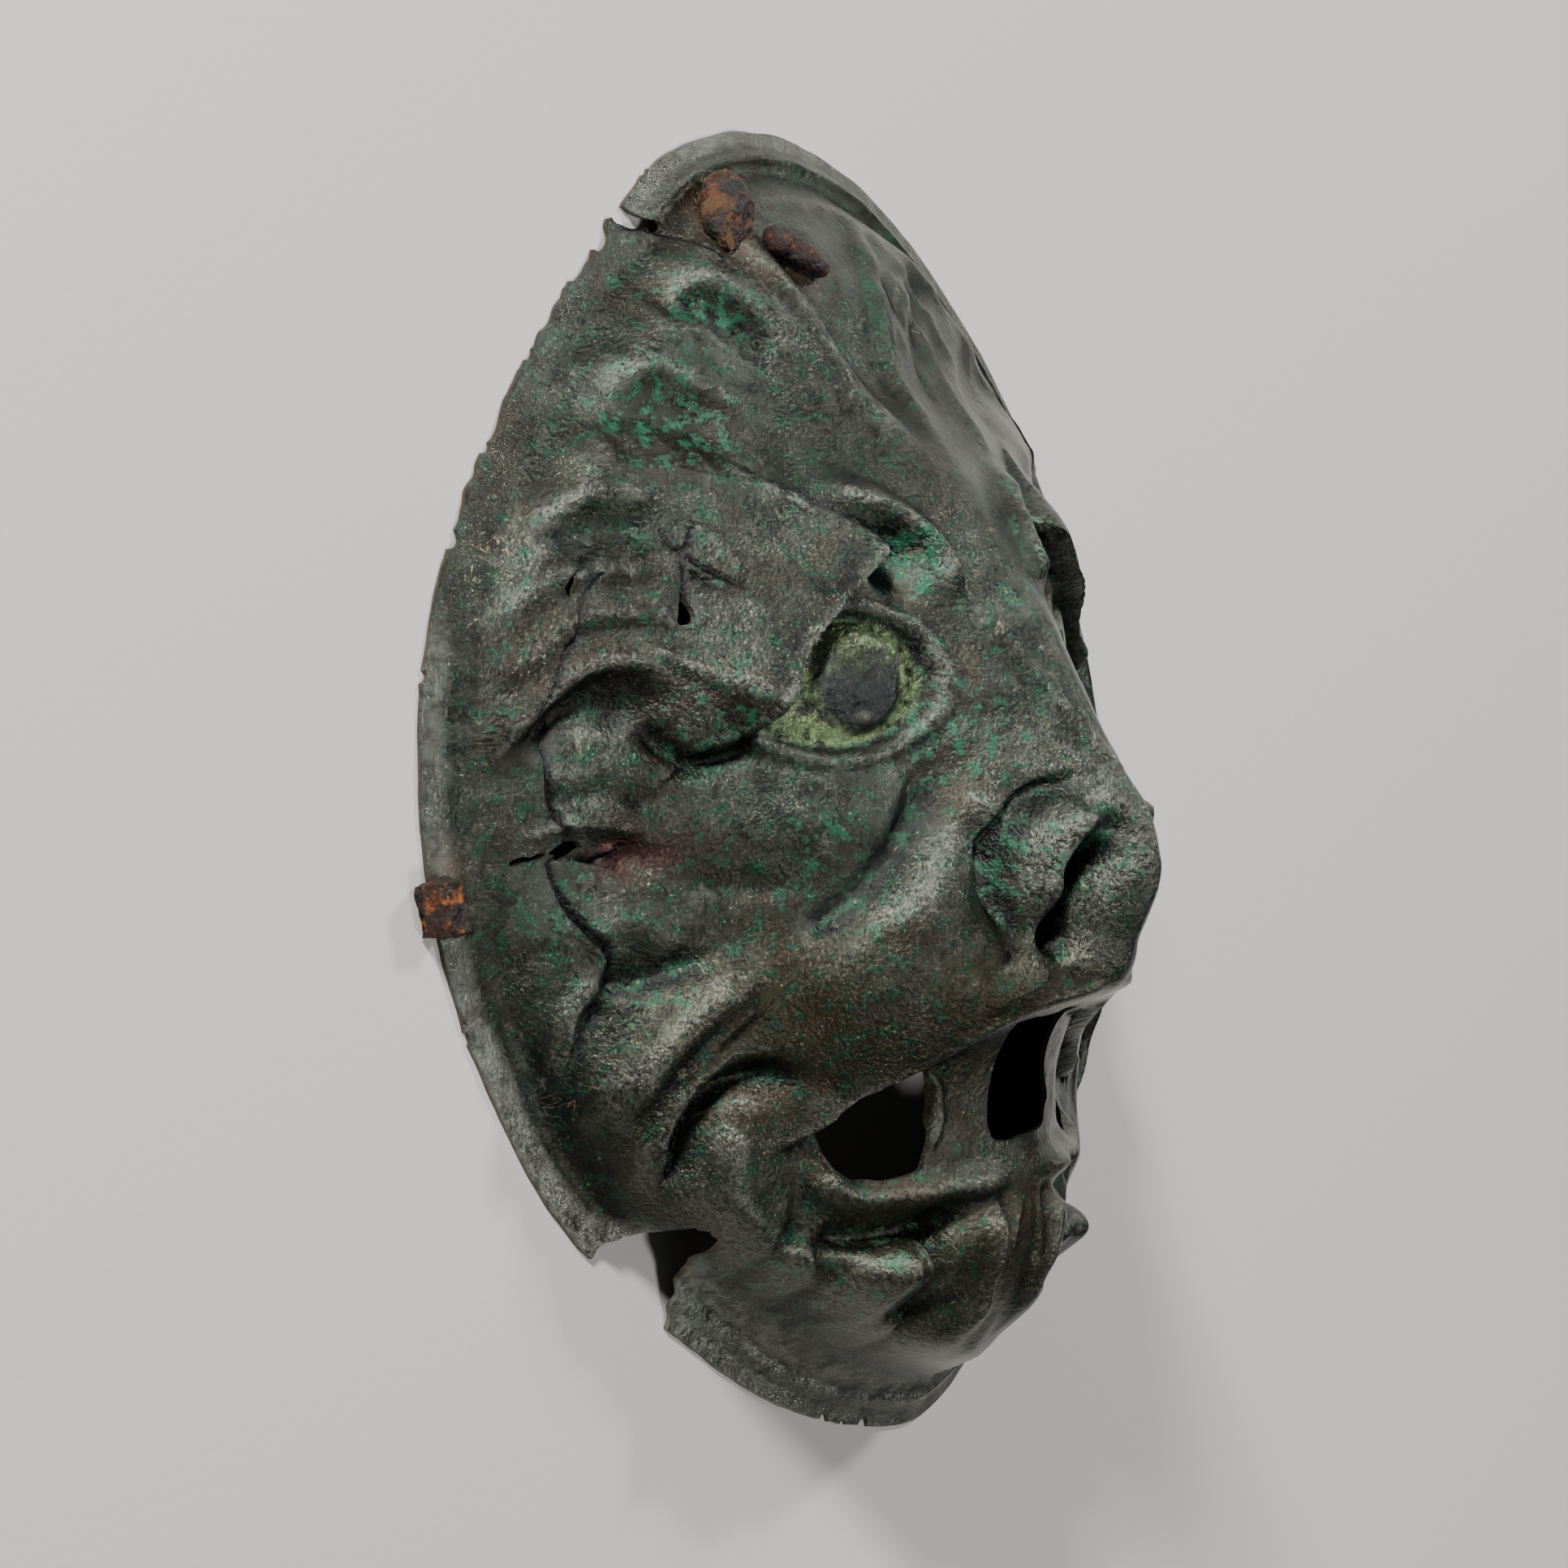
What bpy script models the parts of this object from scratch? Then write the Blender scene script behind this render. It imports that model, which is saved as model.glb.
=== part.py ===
"""Bronze lion mask: a hammered sheet-bronze face with its rim, and three stubs of iron nails.

The mask lies face up on its rim. +Y is the forehead, +X the face's own left, and +Z points out
of the face. The sheet is one open relief, z over the plan, with a true wall thickness. The
relief is a dome with a nose ridge, and ridges, hollows and swellings are added to it by name.
"""
from math import cos, pi, radians, sin

import bmesh
import bpy
import numpy as np
from mathutils import Quaternion, Vector, noise

# Driving sizes, in metres. The relief runs from the rim's groove to the tip of the nose.
MASK_WIDTH = 0.228
MASK_HEIGHT = 0.261
FACE_RELIEF = 0.082
SHEET_THICKNESS = 0.001
LIP_WIDTH = 0.0025
BEAD_WIDTH = 0.0075
BEAD_HEIGHT = 0.003
GROOVE_HEIGHT = 0.0015
FIT_GAP = 0.0003
EYE_RADIUS = 0.011
LID_RADIUS = 0.0142
LID_WIDTH = 0.0026
BROW_FALL = 0.0045

# The face is drawn in steps across, up and out. A step is a millimetre at the sizes above.
STEP_X = MASK_WIDTH / 228.0
STEP_Y = MASK_HEIGHT / 261.0
STEP_Z = FACE_RELIEF / 82.0
STEP = (STEP_X + STEP_Y) / 2

# Sheet mesh: rings from the middle to the rim. The last ones follow the lip and the bead.
FACE_RINGS = 16
FACE_SHARE = 0.64
FIELD_RINGS = 4

# Nails, in metres. The places are in steps from the middle of the face.
LUMP_SIZE = (0.010, 0.0215, 0.0095)
LUMP_PLACE = (-19.5, 111.5)
LUMP_TURN = radians(-38.0)
SHANK_RADIUS = 0.0026
NAIL_HEAD_SIZE = (0.0066, 0.0066, 0.0054)
BENT_NAIL_WAY = [(-12.8, 104.0), (-10.2, 102.0), (-7.4, 99.8), (-4.6, 97.2)]
CLENCH_SIZE = (0.0085, 0.0105, 0.0078)
CLENCH_ANGLE = radians(186.0)
CLENCH_OVERHANG = 0.0042

# Outline of the rim: angle in degrees from +X, radius in steps.
RIM = [(0, 114), (20, 113), (38, 114), (55, 118), (70, 124), (86, 128), (100, 125.5),
       (112, 117.5), (124, 112.5), (138, 111), (152, 113), (170, 114.5), (190, 114),
       (206, 112.5), (222, 112.5), (236, 112), (250, 116), (262, 122.5), (272, 128),
       (280, 132.5), (292, 129), (310, 119), (335, 114)]

# Middle line of the head without its nose, and what the nose adds: y and height, in steps.
HEAD = [(131, 0), (120, 6), (113, 9), (100, 18), (75, 28), (61, 40), (50, 47), (35, 53),
        (18, 55), (0, 56), (-20, 58), (-35, 59), (-45, 57), (-60, 53), (-71, 52),
        (-83, 49), (-102, 38), (-115, 26), (-125, 14), (-134, 0)]
NOSE = [(62, 0), (50, 1.5), (39, 3.5), (24, 9.5), (7, 16), (-2, 20.5), (-10, 23.5),
        (-18, 23.5), (-26, 20), (-33, 15.5), (-39, 13), (-42.5, 10), (-45.5, 3), (-49, 0)]
NOSE_WIDTH = [(62, 12), (39, 14), (24, 20), (7, 23), (-6, 21), (-20, 16), (-30, 16),
              (-40, 24), (-50, 26)]
LIP_EDGE = [(0, -43), (7, -45), (21, -47.5), (28, -51), (40, -56.5), (48, -62), (70, -66)]
EYE_PLACE = (36.5, 20.0)
BROW_EDGE = [(25, 50), (27.5, 46.5), (33, 42), (39.5, 37), (46, 32), (51, 26.5),
             (55, 19.5), (59.5, 13.5), (65, 10)]

# Ridges (height over 0) and hollows, each along a smooth way from the face's middle line
# outwards, and the same on both halves: height, width on the left of the way, width on its
# right, the way. All in steps.
FOREHEAD = [
    (3.2, 3.5, 4.5, [(26, 113), (19, 101), (12, 86), (8, 72), (5, 58)]),
]
LOCKS = [
    (2.6, 3.5, 4.0, [(52, 92), (47, 99), (37, 101), (28, 95), (20, 84), (15, 72)]),
    (-2.6, 4.5, 4.5, [(46, 91), (38, 94), (30, 88), (24, 79)]),
    (3.0, 3.5, 4.0, [(74, 74), (64, 83), (52, 84), (41, 77), (32, 67)]),
    (-4.0, 5.5, 5.5, [(72, 70), (61, 74), (50, 71), (42, 64)]),
    (2.8, 3.5, 4.0, [(88, 54), (79, 60), (68, 60), (56, 56)]),
    (-2.6, 4.0, 4.0, [(84, 51), (74, 52), (62, 51)]),
    (3.2, 3.5, 4.5, [(101, 12), (92, 21), (83, 28), (74, 28), (67, 21)]),
    (-3.2, 4.0, 4.0, [(94, 14), (85, 20), (76, 20), (70, 15)]),
    (2.8, 5.0, 4.5, [(90, 12), (80, 12), (73, 8)]),
]
CHEEK = [
    (-1.8, 3.5, 3.5, [(91, 4), (82, 6), (74, 3)]),
    (-2.4, 2.6, 3.0, [(58, 9.5), (64, 6), (70, 7), (74, 12), (75, 18)]),
    (-1.8, 3.5, 3.5, [(91, -5), (82, -3), (73, -6)]),
    (-1.6, 3.5, 3.5, [(72, -13), (62, -14), (52, -17)]),
    (2.2, 4.0, 4.0, [(88, -22), (80, -20), (68, -24)]),
    (-2.4, 3.5, 3.5, [(86, -30), (77, -31), (66, -28)]),
    (5.2, 4.6, 6.0, [(58, -29), (68, -34), (76, -41), (81, -49), (82, -60)]),
    (-5.0, 3.5, 5.0, [(50, -55), (58, -51), (66, -54), (71, -63), (69, -76)]),
    (2.6, 3.5, 3.5, [(66, -48), (73, -54), (76, -64), (73, -76)]),
]
NOSE_AND_MUZZLE = [
    (4.4, 3.4, 3.4, [(31, 58), (24, 55), (18.5, 50), (15.5, 45), (15.5, 39), (19, 35)]),
    (5.2, 3.6, 3.6, [(7, -6), (12, -10), (16, -18), (16, -29)]),
    (-3.6, 2.6, 2.6, [(5, -1), (12, -3), (18, -9), (21.5, -19), (20, -32)]),
    (-8.0, 3.0, 3.0, [(6.2, -12), (9.5, -19), (11.5, -27), (12.3, -35)]),
    (3.2, 4.0, 7.0, [(17, 0), (23, -7), (33, -18), (45, -27)]),
    (-3.6, 3.5, 3.5, [(24, 4), (35, -12), (45, -21), (53, -26)]),
]
CHIN = [
    (3.0, 3.5, 4.0, [(47, -68), (40, -76), (24, -77.5), (0, -77)]),
    (-2.6, 3.5, 4.0, [(44, -84), (30, -86), (14, -84)]),
    (2.2, 4.0, 4.0, [(40, -92), (28, -94), (16, -93)]),
    (2.0, 4.0, 4.0, [(12, -80), (10, -95), (8, -112)]),
]
# Swellings on both halves: middle, half lengths, height, turn in degrees.
SWELLINGS = [
    ((65, 17), (8, 7.5), 4.4, 0),
    ((23.5, 42.5), (4, 6), -5.0, 15),
    ((45, -2), (15, 11), 4.0, 0),
    ((30, -34), (21, 19), 8.5, -25),
    ((13.5, -20), (6.5, 11), 4.0, 0),
]

# Where the face's own left half lies lower than the right: as the swellings, on one side only.
# There the locks are fainter too.
FAR_FALLS = [
    ((60, 17), (18, 18), -9.0, 0),
    ((34, -48), (16, 12), -4.0, 0),
]
FAR_FAINTNESS = 0.6

# Openings right through the sheet, in steps. The side gap is on both halves.
SIDE_GAP = [(27, -52), (34, -54.5), (41, -58), (43, -66), (41, -71), (35, -74), (27, -73)]
MIDDLE_GAP = [(-9, -46.5), (9, -46.5), (9.5, -56), (9, -69), (0, -70), (-9, -69), (-9.5, -58)]
RIM_NOTCH = [(-86, -100), (-76, -82), (-66, -79), (-60, -80.5), (-55.5, -86), (-56, -93),
             (-57, -100), (-70, -118)]
BROKEN_CORNER = [(-50, 122), (-44, 110.5), (-38, 108.6), (-33, 110.4), (-38, 115), (-39, 126)]
CHEEK_TEAR = [(-99, -5), (-90, -3), (-80, -3), (-74, -5.5), (-82, -5), (-91, -5)]

COLOURS = {
    "bronze_mask": ((0.13, 0.14, 0.10), 0.45, 0.85),
    "iron_nail_lump": ((0.16, 0.07, 0.03), 0.75, 0.2),
    "iron_nail_bent": ((0.12, 0.06, 0.035), 0.6, 0.3),
    "iron_rim_clench": ((0.20, 0.09, 0.03), 0.65, 0.3),
}


def smoothstep(t):
    t = np.clip(t, 0.0, 1.0)
    return t * t * (3.0 - 2.0 * t)


def hermite(x, knots, values, slopes):
    """Cubic through the knots with the given slopes."""
    i = np.clip(np.searchsorted(knots, x, side="right") - 1, 0, len(knots) - 2)
    h = knots[i + 1] - knots[i]
    t = (x - knots[i]) / h
    start = (2 * t ** 3 - 3 * t ** 2 + 1) * values[i] + (t ** 3 - 2 * t ** 2 + t) * h * slopes[i]
    end = (3 * t ** 2 - 2 * t ** 3) * values[i + 1] + (t ** 3 - t ** 2) * h * slopes[i + 1]
    return start + end


def profile(x, table):
    """Smooth value at x through a table's points, with no overshoot between them."""
    points = np.array(sorted(table), float)
    knots, values = points[:, 0], points[:, 1]
    steep = np.abs(np.diff(values) / np.diff(knots))
    rising = np.sign(np.diff(values))
    limit = 3.0 * np.concatenate([steep[:1], np.minimum(steep[:-1], steep[1:]), steep[-1:]])
    turn = np.concatenate([[1.0], rising[:-1] * rising[1:] > 0, [1.0]])
    slopes = np.clip(np.gradient(values, knots), -limit, limit) * turn
    return hermite(np.clip(x, knots[0], knots[-1]), knots, values, slopes)


def rim_radius(angle):
    """Radius of the outline in steps at an angle from +X."""
    points = np.array(RIM, float)
    around = np.concatenate([points[-3:] - [360, 0], points, points[:3] + [360, 0]])
    knots, values = around[:, 0], around[:, 1]
    return hermite(np.degrees(angle) % 360, knots, values, np.gradient(values, knots))


def rim_depth(u, v):
    """Distance in from the rim in metres, for a place in steps."""
    return (rim_radius(np.arctan2(v, u)) - np.hypot(u, v)) * STEP


def bead(depth):
    """Height of the rim: a flat lip, a rounded bead and the groove inside it."""
    up = smoothstep((depth - LIP_WIDTH) / (0.4 * BEAD_WIDTH))
    down = smoothstep((depth - LIP_WIDTH - 0.4 * BEAD_WIDTH) / (0.6 * BEAD_WIDTH))
    return SHEET_THICKNESS + BEAD_HEIGHT * up - (BEAD_HEIGHT - GROOVE_HEIGHT) * down


def smooth_way(points, spacing=1.2):
    """Evenly close points on a smooth way through the given ones."""
    points = np.array(points, float)
    knots = np.arange(len(points), dtype=float)
    length = np.hypot(*np.diff(points, axis=0).T).sum()
    t = np.linspace(0, len(points) - 1, max(int(length / spacing), 4) + 1)
    return np.stack([hermite(t, knots, c, np.gradient(c)) for c in points.T], axis=1)


def along(x, y, points):
    """Distance from a way, over 0 on its left, and the share of the way passed."""
    way = smooth_way(points)
    tangent = np.gradient(way, axis=0)
    spacing = np.hypot(*tangent.T)
    tangent = tangent / spacing[:, None]
    off = np.stack([x, y], axis=-1)[:, None, :] - way[None]
    nearest = np.argmin((off ** 2).sum(-1), axis=1)
    gap = off[np.arange(len(x)), nearest]
    direction = tangent[nearest]
    ahead = (gap * direction).sum(-1)
    aside = direction[:, 0] * gap[:, 1] - direction[:, 1] * gap[:, 0]
    past = np.maximum(np.abs(ahead) - spacing[nearest], 0.0)
    share = np.clip((nearest + ahead / spacing[nearest]) / (len(way) - 1), 0, 1)
    return np.where(aside < 0, -1.0, 1.0) * np.hypot(aside, past), share


def add_ridge(z, x, y, height, left, right, points, strength=1.0):
    """Add a ridge or a hollow along a way, tapering to both ends. The strength scales it."""
    box = np.array(points, float)
    reach = 2.4 * max(left, right) + 3.0
    near = (x > box[:, 0].min() - reach) & (x < box[:, 0].max() + reach)
    near &= (y > box[:, 1].min() - reach) & (y < box[:, 1].max() + reach)
    if not near.any():
        return
    distance, share = along(x[near], y[near], points)
    width = np.where(distance > 0, left, right)
    taper = 0.15 + 0.85 * smoothstep(np.minimum(share, 1 - share) / 0.25)
    added = height * taper * np.exp(-(distance / width) ** 2)
    z[near] += added * np.broadcast_to(strength, x.shape)[near]


def add_swelling(z, x, y, middle, half, height, turn):
    c, s = cos(radians(turn)), sin(radians(turn))
    u = ((x - middle[0]) * c + (y - middle[1]) * s) / half[0]
    v = ((y - middle[1]) * c - (x - middle[0]) * s) / half[1]
    z += height * np.exp(-(u * u + v * v) ** 1.15)


def head_form(x, y):
    """The dome of the head, in steps."""
    half_width = 113.0 * np.sqrt(np.clip(1 - (np.abs(y) / 131.0) ** 2.6, 0, 1)) - 6.0
    t = np.clip(np.abs(x) / np.maximum(half_width, 8.0), 0, 1)
    return profile(y, HEAD) * (1 - t ** 1.55) ** 1.25


def nose_form(x, y):
    t = np.clip((np.sqrt(x * x + 9.0) - 3.0) / profile(y, NOSE_WIDTH), 0, 1)
    return profile(y, NOSE) * (1 - t) ** 1.15


def add_brow(z, x, y):
    """Brow: a broad swell that ends in a sharp edge over the eye."""
    distance, share = along(x, y, BROW_EDGE)
    swell = 7.6 * smoothstep(share / 0.2) * (0.2 + 0.8 * smoothstep((1 - share) / 0.25))
    over = np.where(distance > 0, np.exp(-(distance / 14.0) ** 2),
                    1 - smoothstep(-distance * STEP / BROW_FALL))
    z += swell * over


def add_eye(z, x, y):
    """Eye: a shallow socket, the rim of the lids and a low round ball."""
    r = np.hypot((x - EYE_PLACE[0]) / 1.05, y - EYE_PLACE[1]) * STEP
    z -= 4.0 * np.exp(-(r / (1.2 * LID_RADIUS)) ** 4)
    z += 2.4 * np.exp(-((r - LID_RADIUS) / LID_WIDTH) ** 2)
    z += 3.6 * smoothstep((EYE_RADIUS - r) / (0.23 * EYE_RADIUS))
    z += 1.2 * np.sqrt(np.clip(1 - (r / EYE_RADIUS) ** 2, 0, 1))


def add_lip_step(z, x, y):
    """The sheet drops back below the edge of the upper lip."""
    drop = smoothstep((profile(x, LIP_EDGE) - y) / 3.0)
    z -= 5.0 * drop * np.exp(-((y + 62) / 22.0) ** 4) * smoothstep((58 - x) / 14)


def carving(x, y):
    """Everything on the dome but the rim, in steps, for points in steps."""
    half = np.sqrt(x * x + 1.0)
    z = head_form(x, y) + nose_form(half, y)
    add_brow(z, half, y)
    add_eye(z, half, y)
    for swelling in SWELLINGS:
        add_swelling(z, half, y, *swelling)
    add_lip_step(z, half, y)
    for swelling in FAR_FALLS:
        add_swelling(z, x, y, *swelling)
    for height, left, right, way in CHEEK + NOSE_AND_MUZZLE + CHIN:
        add_ridge(z, half, y, height, left, right, way)
    fainter = 1.0 - FAR_FAINTNESS * smoothstep(x / 12.0)
    for height, left, right, way in FOREHEAD + LOCKS:
        add_ridge(z, half, y, height, left, right, way, fainter)
    return z


def relief(x, y):
    """Height of the sheet's front over the floor, in metres."""
    u, v = x / STEP_X, y / STEP_Y
    depth = rim_depth(u, v)
    inside = smoothstep((depth / STEP - 6.0) / 9.0)
    return bead(depth) + inside * carving(u, v) * STEP_Z


def slope_factor(x, y):
    """How much thicker the sheet is upright than square to its face."""
    reach = 1.5 * STEP
    across = (relief(x + reach, y) - relief(x - reach, y)) / (2 * reach)
    upward = (relief(x, y + reach) - relief(x, y - reach)) / (2 * reach)
    flat = rim_depth(x / STEP_X, y / STEP_Y) < LIP_WIDTH + 1e-6
    return np.where(flat, 1.0, np.sqrt(1 + across ** 2 + upward ** 2))


def ring_shares():
    """Share of the radius at each ring of the mesh, but for the last three on the rim."""
    face = np.linspace(0, FACE_SHARE, FACE_RINGS + 1)
    field = np.linspace(FACE_SHARE, 1.0, FIELD_RINGS + 1)[1:]
    return np.concatenate([face, field])


def plan_point(u, v):
    """Square grid point to plan: each square ring becomes a ring of the outline's form."""
    rings = FACE_RINGS + FIELD_RINGS + 3
    ring = int(round(max(abs(u), abs(v)) * rings))
    if ring == 0:
        return 0.0, 0.0
    if abs(u) >= abs(v):
        angle = pi / 4 * v / u + (0 if u > 0 else pi)
    else:
        angle = pi / 2 - pi / 4 * u / v + (0 if v > 0 else pi)
    edge = float(rim_radius(np.float64(angle)))
    rim_insets = [LIP_WIDTH + 0.4 * BEAD_WIDTH, LIP_WIDTH, 0.0]
    if ring > rings - 3:
        radius = edge - rim_insets[ring - rings + 2] / STEP
    else:
        radius = (edge - (LIP_WIDTH + BEAD_WIDTH) / STEP) * ring_shares()[ring]
    return radius * cos(angle) * STEP_X, radius * sin(angle) * STEP_Y


def new_object(name, bm, collection):
    mesh = bpy.data.meshes.new(name)
    bm.to_mesh(mesh)
    bm.free()
    obj = bpy.data.objects.new(name, mesh)
    collection.objects.link(obj)
    return obj


def set_heights(verts, lift=0.0, wall=0.0):
    """Put vertices on the relief, raised by a lift or lowered by a wall's thickness."""
    x = np.array([v.co.x for v in verts])
    y = np.array([v.co.y for v in verts])
    z = relief(x, y) + (lift - wall) * slope_factor(x, y)
    for vert, height in zip(verts, z):
        vert.co.z = height


def sheet_grid():
    """Open grid over the plan of the mask."""
    rings = FACE_RINGS + FIELD_RINGS + 3
    bm = bmesh.new()
    bmesh.ops.create_grid(bm, x_segments=2 * rings, y_segments=2 * rings, size=1.0)
    for vert in bm.verts:
        vert.co.x, vert.co.y = plan_point(vert.co.x, vert.co.y)
    return bm


def outline_cutter(name, steps, collection):
    """Upright prism over a closed outline, taller than the mask."""
    curve = bpy.data.curves.new(name, "CURVE")
    curve.dimensions = "2D"
    curve.fill_mode = "BOTH"
    curve.extrude = 1.2 * FACE_RELIEF
    spline = curve.splines.new("POLY")
    spline.points.add(len(steps) - 1)
    for point, (x, y) in zip(spline.points, steps):
        point.co = (x * STEP_X, y * STEP_Y, 0.0, 1.0)
    spline.use_cyclic_u = True
    flat = bpy.data.objects.new(name + "_outline", curve)
    collection.objects.link(flat)
    bpy.context.view_layer.update()
    depsgraph = bpy.context.evaluated_depsgraph_get()
    mesh = bpy.data.meshes.new_from_object(flat.evaluated_get(depsgraph))
    bm = bmesh.new()
    bm.from_mesh(mesh)
    bmesh.ops.remove_doubles(bm, verts=bm.verts, dist=1e-6)
    bmesh.ops.recalc_face_normals(bm, faces=bm.faces)
    bpy.data.objects.remove(flat)
    return hide_cutter(new_object(name, bm, collection))


def hide_cutter(obj):
    obj.hide_render = True
    obj.display_type = "WIRE"
    return obj


def cut(obj, cutter, operation="DIFFERENCE"):
    modifier = obj.modifiers.new(cutter.name, "BOOLEAN")
    modifier.object = cutter
    modifier.operation = operation
    modifier.solver = "EXACT"


def make_sheet(parts, cutters):
    """The mask: the relief with its wall, and its openings, notch and tear cut out."""
    bm = sheet_grid()
    front = list(bm.faces)
    out = bmesh.ops.extrude_face_region(bm, geom=front)
    raised = [item for item in out["geom"] if isinstance(item, bmesh.types.BMVert)]
    above = set(raised)
    lower = [vert for vert in bm.verts if vert not in above]
    set_heights(raised)
    set_heights(lower, wall=SHEET_THICKNESS)
    bmesh.ops.triangulate(bm, faces=bm.faces)
    bmesh.ops.recalc_face_normals(bm, faces=bm.faces)
    mask = new_object("bronze_mask", bm, parts)
    mirrored = [(-x, y) for x, y in reversed(SIDE_GAP)]
    openings = {"side_gap": SIDE_GAP, "other_side_gap": mirrored, "middle_gap": MIDDLE_GAP,
                "rim_notch": RIM_NOTCH, "broken_corner": BROKEN_CORNER,
                "cheek_tear": CHEEK_TEAR}
    for name, outline in openings.items():
        cut(mask, outline_cutter(name, outline, cutters))
    return mask


def make_bed(cutters):
    """The space the sheet takes, with the fitting gap: what sits on the mask is cut by it."""
    bm = sheet_grid()
    for vert in bm.verts:
        if vert.is_boundary:
            flat = Vector((vert.co.x, vert.co.y))
            flat = flat * (1 + FIT_GAP / flat.length)
            vert.co.x, vert.co.y = flat
    front = list(bm.faces)
    out = bmesh.ops.extrude_face_region(bm, geom=front)
    raised = [item for item in out["geom"] if isinstance(item, bmesh.types.BMVert)]
    above = set(raised)
    lower = [vert for vert in bm.verts if vert not in above]
    set_heights(raised, lift=FIT_GAP)
    for vert in lower:
        vert.co.z = -0.2 * FACE_RELIEF
    bmesh.ops.triangulate(bm, faces=bm.faces)
    bmesh.ops.recalc_face_normals(bm, faces=bm.faces)
    return hide_cutter(new_object("sheet_bed", bm, cutters))


def surface_frame(place):
    """Point on the front and the direction square to it, for a place in steps."""
    x, y = place[0] * STEP_X, place[1] * STEP_Y
    reach = 4 * STEP
    places_x = np.array([x, x + reach, x - reach, x, x])
    places_y = np.array([y, y, y, y + reach, y - reach])
    z = relief(places_x, places_y)
    normal = Vector((z[2] - z[1], z[4] - z[3], 2 * reach)).normalized()
    return Vector((x, y, z[0])), normal


def roughen(bm, amount, grain, seed):
    """Push vertices in and out by smooth noise."""
    shift = Vector((seed * 7.3, seed * 3.1, seed * 5.7))
    for vert in bm.verts:
        direction = vert.co.normalized()
        vert.co += direction * amount * noise.noise(vert.co / grain + shift)


def make_lump(parts, bed):
    """Corroded stump of a nail near the forehead rim: a rough crust on the sheet."""
    place, normal = surface_frame(LUMP_PLACE)
    bm = bmesh.new()
    bmesh.ops.create_icosphere(bm, subdivisions=3, radius=0.5)
    for vert in bm.verts:
        vert.co = Vector(c * s for c, s in zip(vert.co, LUMP_SIZE))
    roughen(bm, 0.16 * LUMP_SIZE[2], 0.35 * LUMP_SIZE[0], 1)
    lump = new_object("iron_nail_lump", bm, parts)
    lump.location = place + normal * 0.12 * LUMP_SIZE[2]
    lump.rotation_mode = "QUATERNION"
    upright = Vector((0, 0, 1)).rotation_difference(normal)
    lump.rotation_quaternion = upright @ Quaternion((0, 0, 1), LUMP_TURN)
    cut(lump, bed)
    return lump


def make_bent_nail(parts, cutters, bed):
    """Nail bent over flat on the forehead: a domed head and a tapering shank."""
    curve = bpy.data.curves.new("shank", "CURVE")
    curve.dimensions = "3D"
    curve.bevel_depth = SHANK_RADIUS
    curve.bevel_resolution = 2
    curve.use_fill_caps = True
    spline = curve.splines.new("POLY")
    spline.points.add(len(BENT_NAIL_WAY) - 1)
    for index, way_point in enumerate(BENT_NAIL_WAY):
        place, normal = surface_frame(way_point)
        point = place + normal * (0.75 * SHANK_RADIUS)
        spline.points[index].co = (*point, 1.0)
        spline.points[index].radius = 1.0 - 0.08 * index
    wire = bpy.data.objects.new("shank_way", curve)
    cutters.objects.link(wire)
    bpy.context.view_layer.update()
    depsgraph = bpy.context.evaluated_depsgraph_get()
    mesh = bpy.data.meshes.new_from_object(wire.evaluated_get(depsgraph))
    bm = bmesh.new()
    bm.from_mesh(mesh)
    bmesh.ops.remove_doubles(bm, verts=bm.verts, dist=1e-6)
    bmesh.ops.triangulate(bm, faces=bm.faces)
    bmesh.ops.recalc_face_normals(bm, faces=bm.faces)
    bpy.data.objects.remove(wire)
    nail = new_object("iron_nail_bent", bm, parts)
    head_bm = bmesh.new()
    bmesh.ops.create_icosphere(head_bm, subdivisions=2, radius=0.5)
    for vert in head_bm.verts:
        vert.co = Vector(c * s for c, s in zip(vert.co, NAIL_HEAD_SIZE))
    head = hide_cutter(new_object("nail_head", head_bm, cutters))
    place, normal = surface_frame(BENT_NAIL_WAY[0])
    head.location = place + normal * SHANK_RADIUS
    head.rotation_mode = "QUATERNION"
    head.rotation_quaternion = Vector((0, 0, 1)).rotation_difference(normal)
    cut(nail, head, "UNION")
    cut(nail, bed)
    return nail


def make_clench(parts, bed):
    """Square nail end bent over the rim at the side of the face."""
    radius = float(rim_radius(np.float64(CLENCH_ANGLE)))
    edge = Vector((radius * cos(CLENCH_ANGLE) * STEP_X, radius * sin(CLENCH_ANGLE) * STEP_Y, 0))
    out = edge.normalized()
    bm = bmesh.new()
    bmesh.ops.create_cube(bm, size=1.0)
    for vert in bm.verts:
        vert.co = Vector(c * s for c, s in zip(vert.co, CLENCH_SIZE))
    bmesh.ops.bevel(bm, geom=bm.edges, offset=0.12 * CLENCH_SIZE[0], segments=1,
                    affect="EDGES")
    clench = new_object("iron_rim_clench", bm, parts)
    overhang = CLENCH_OVERHANG - 0.5 * CLENCH_SIZE[0]
    clench.location = edge + out * overhang + Vector((0, 0, 0.5 * CLENCH_SIZE[2] + FIT_GAP))
    clench.rotation_euler = (0.0, 0.0, CLENCH_ANGLE)
    cut(clench, bed)
    return clench


def colour(obj):
    """A plain material in the piece's own colour."""
    base, roughness, metallic = COLOURS[obj.name]
    material = bpy.data.materials.new(obj.name)
    material.use_nodes = True
    shader = material.node_tree.nodes["Principled BSDF"]
    shader.inputs["Base Color"].default_value = (*base, 1.0)
    shader.inputs["Roughness"].default_value = roughness
    shader.inputs["Metallic"].default_value = metallic
    obj.data.materials.append(material)
    obj.data.shade_smooth()


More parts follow.
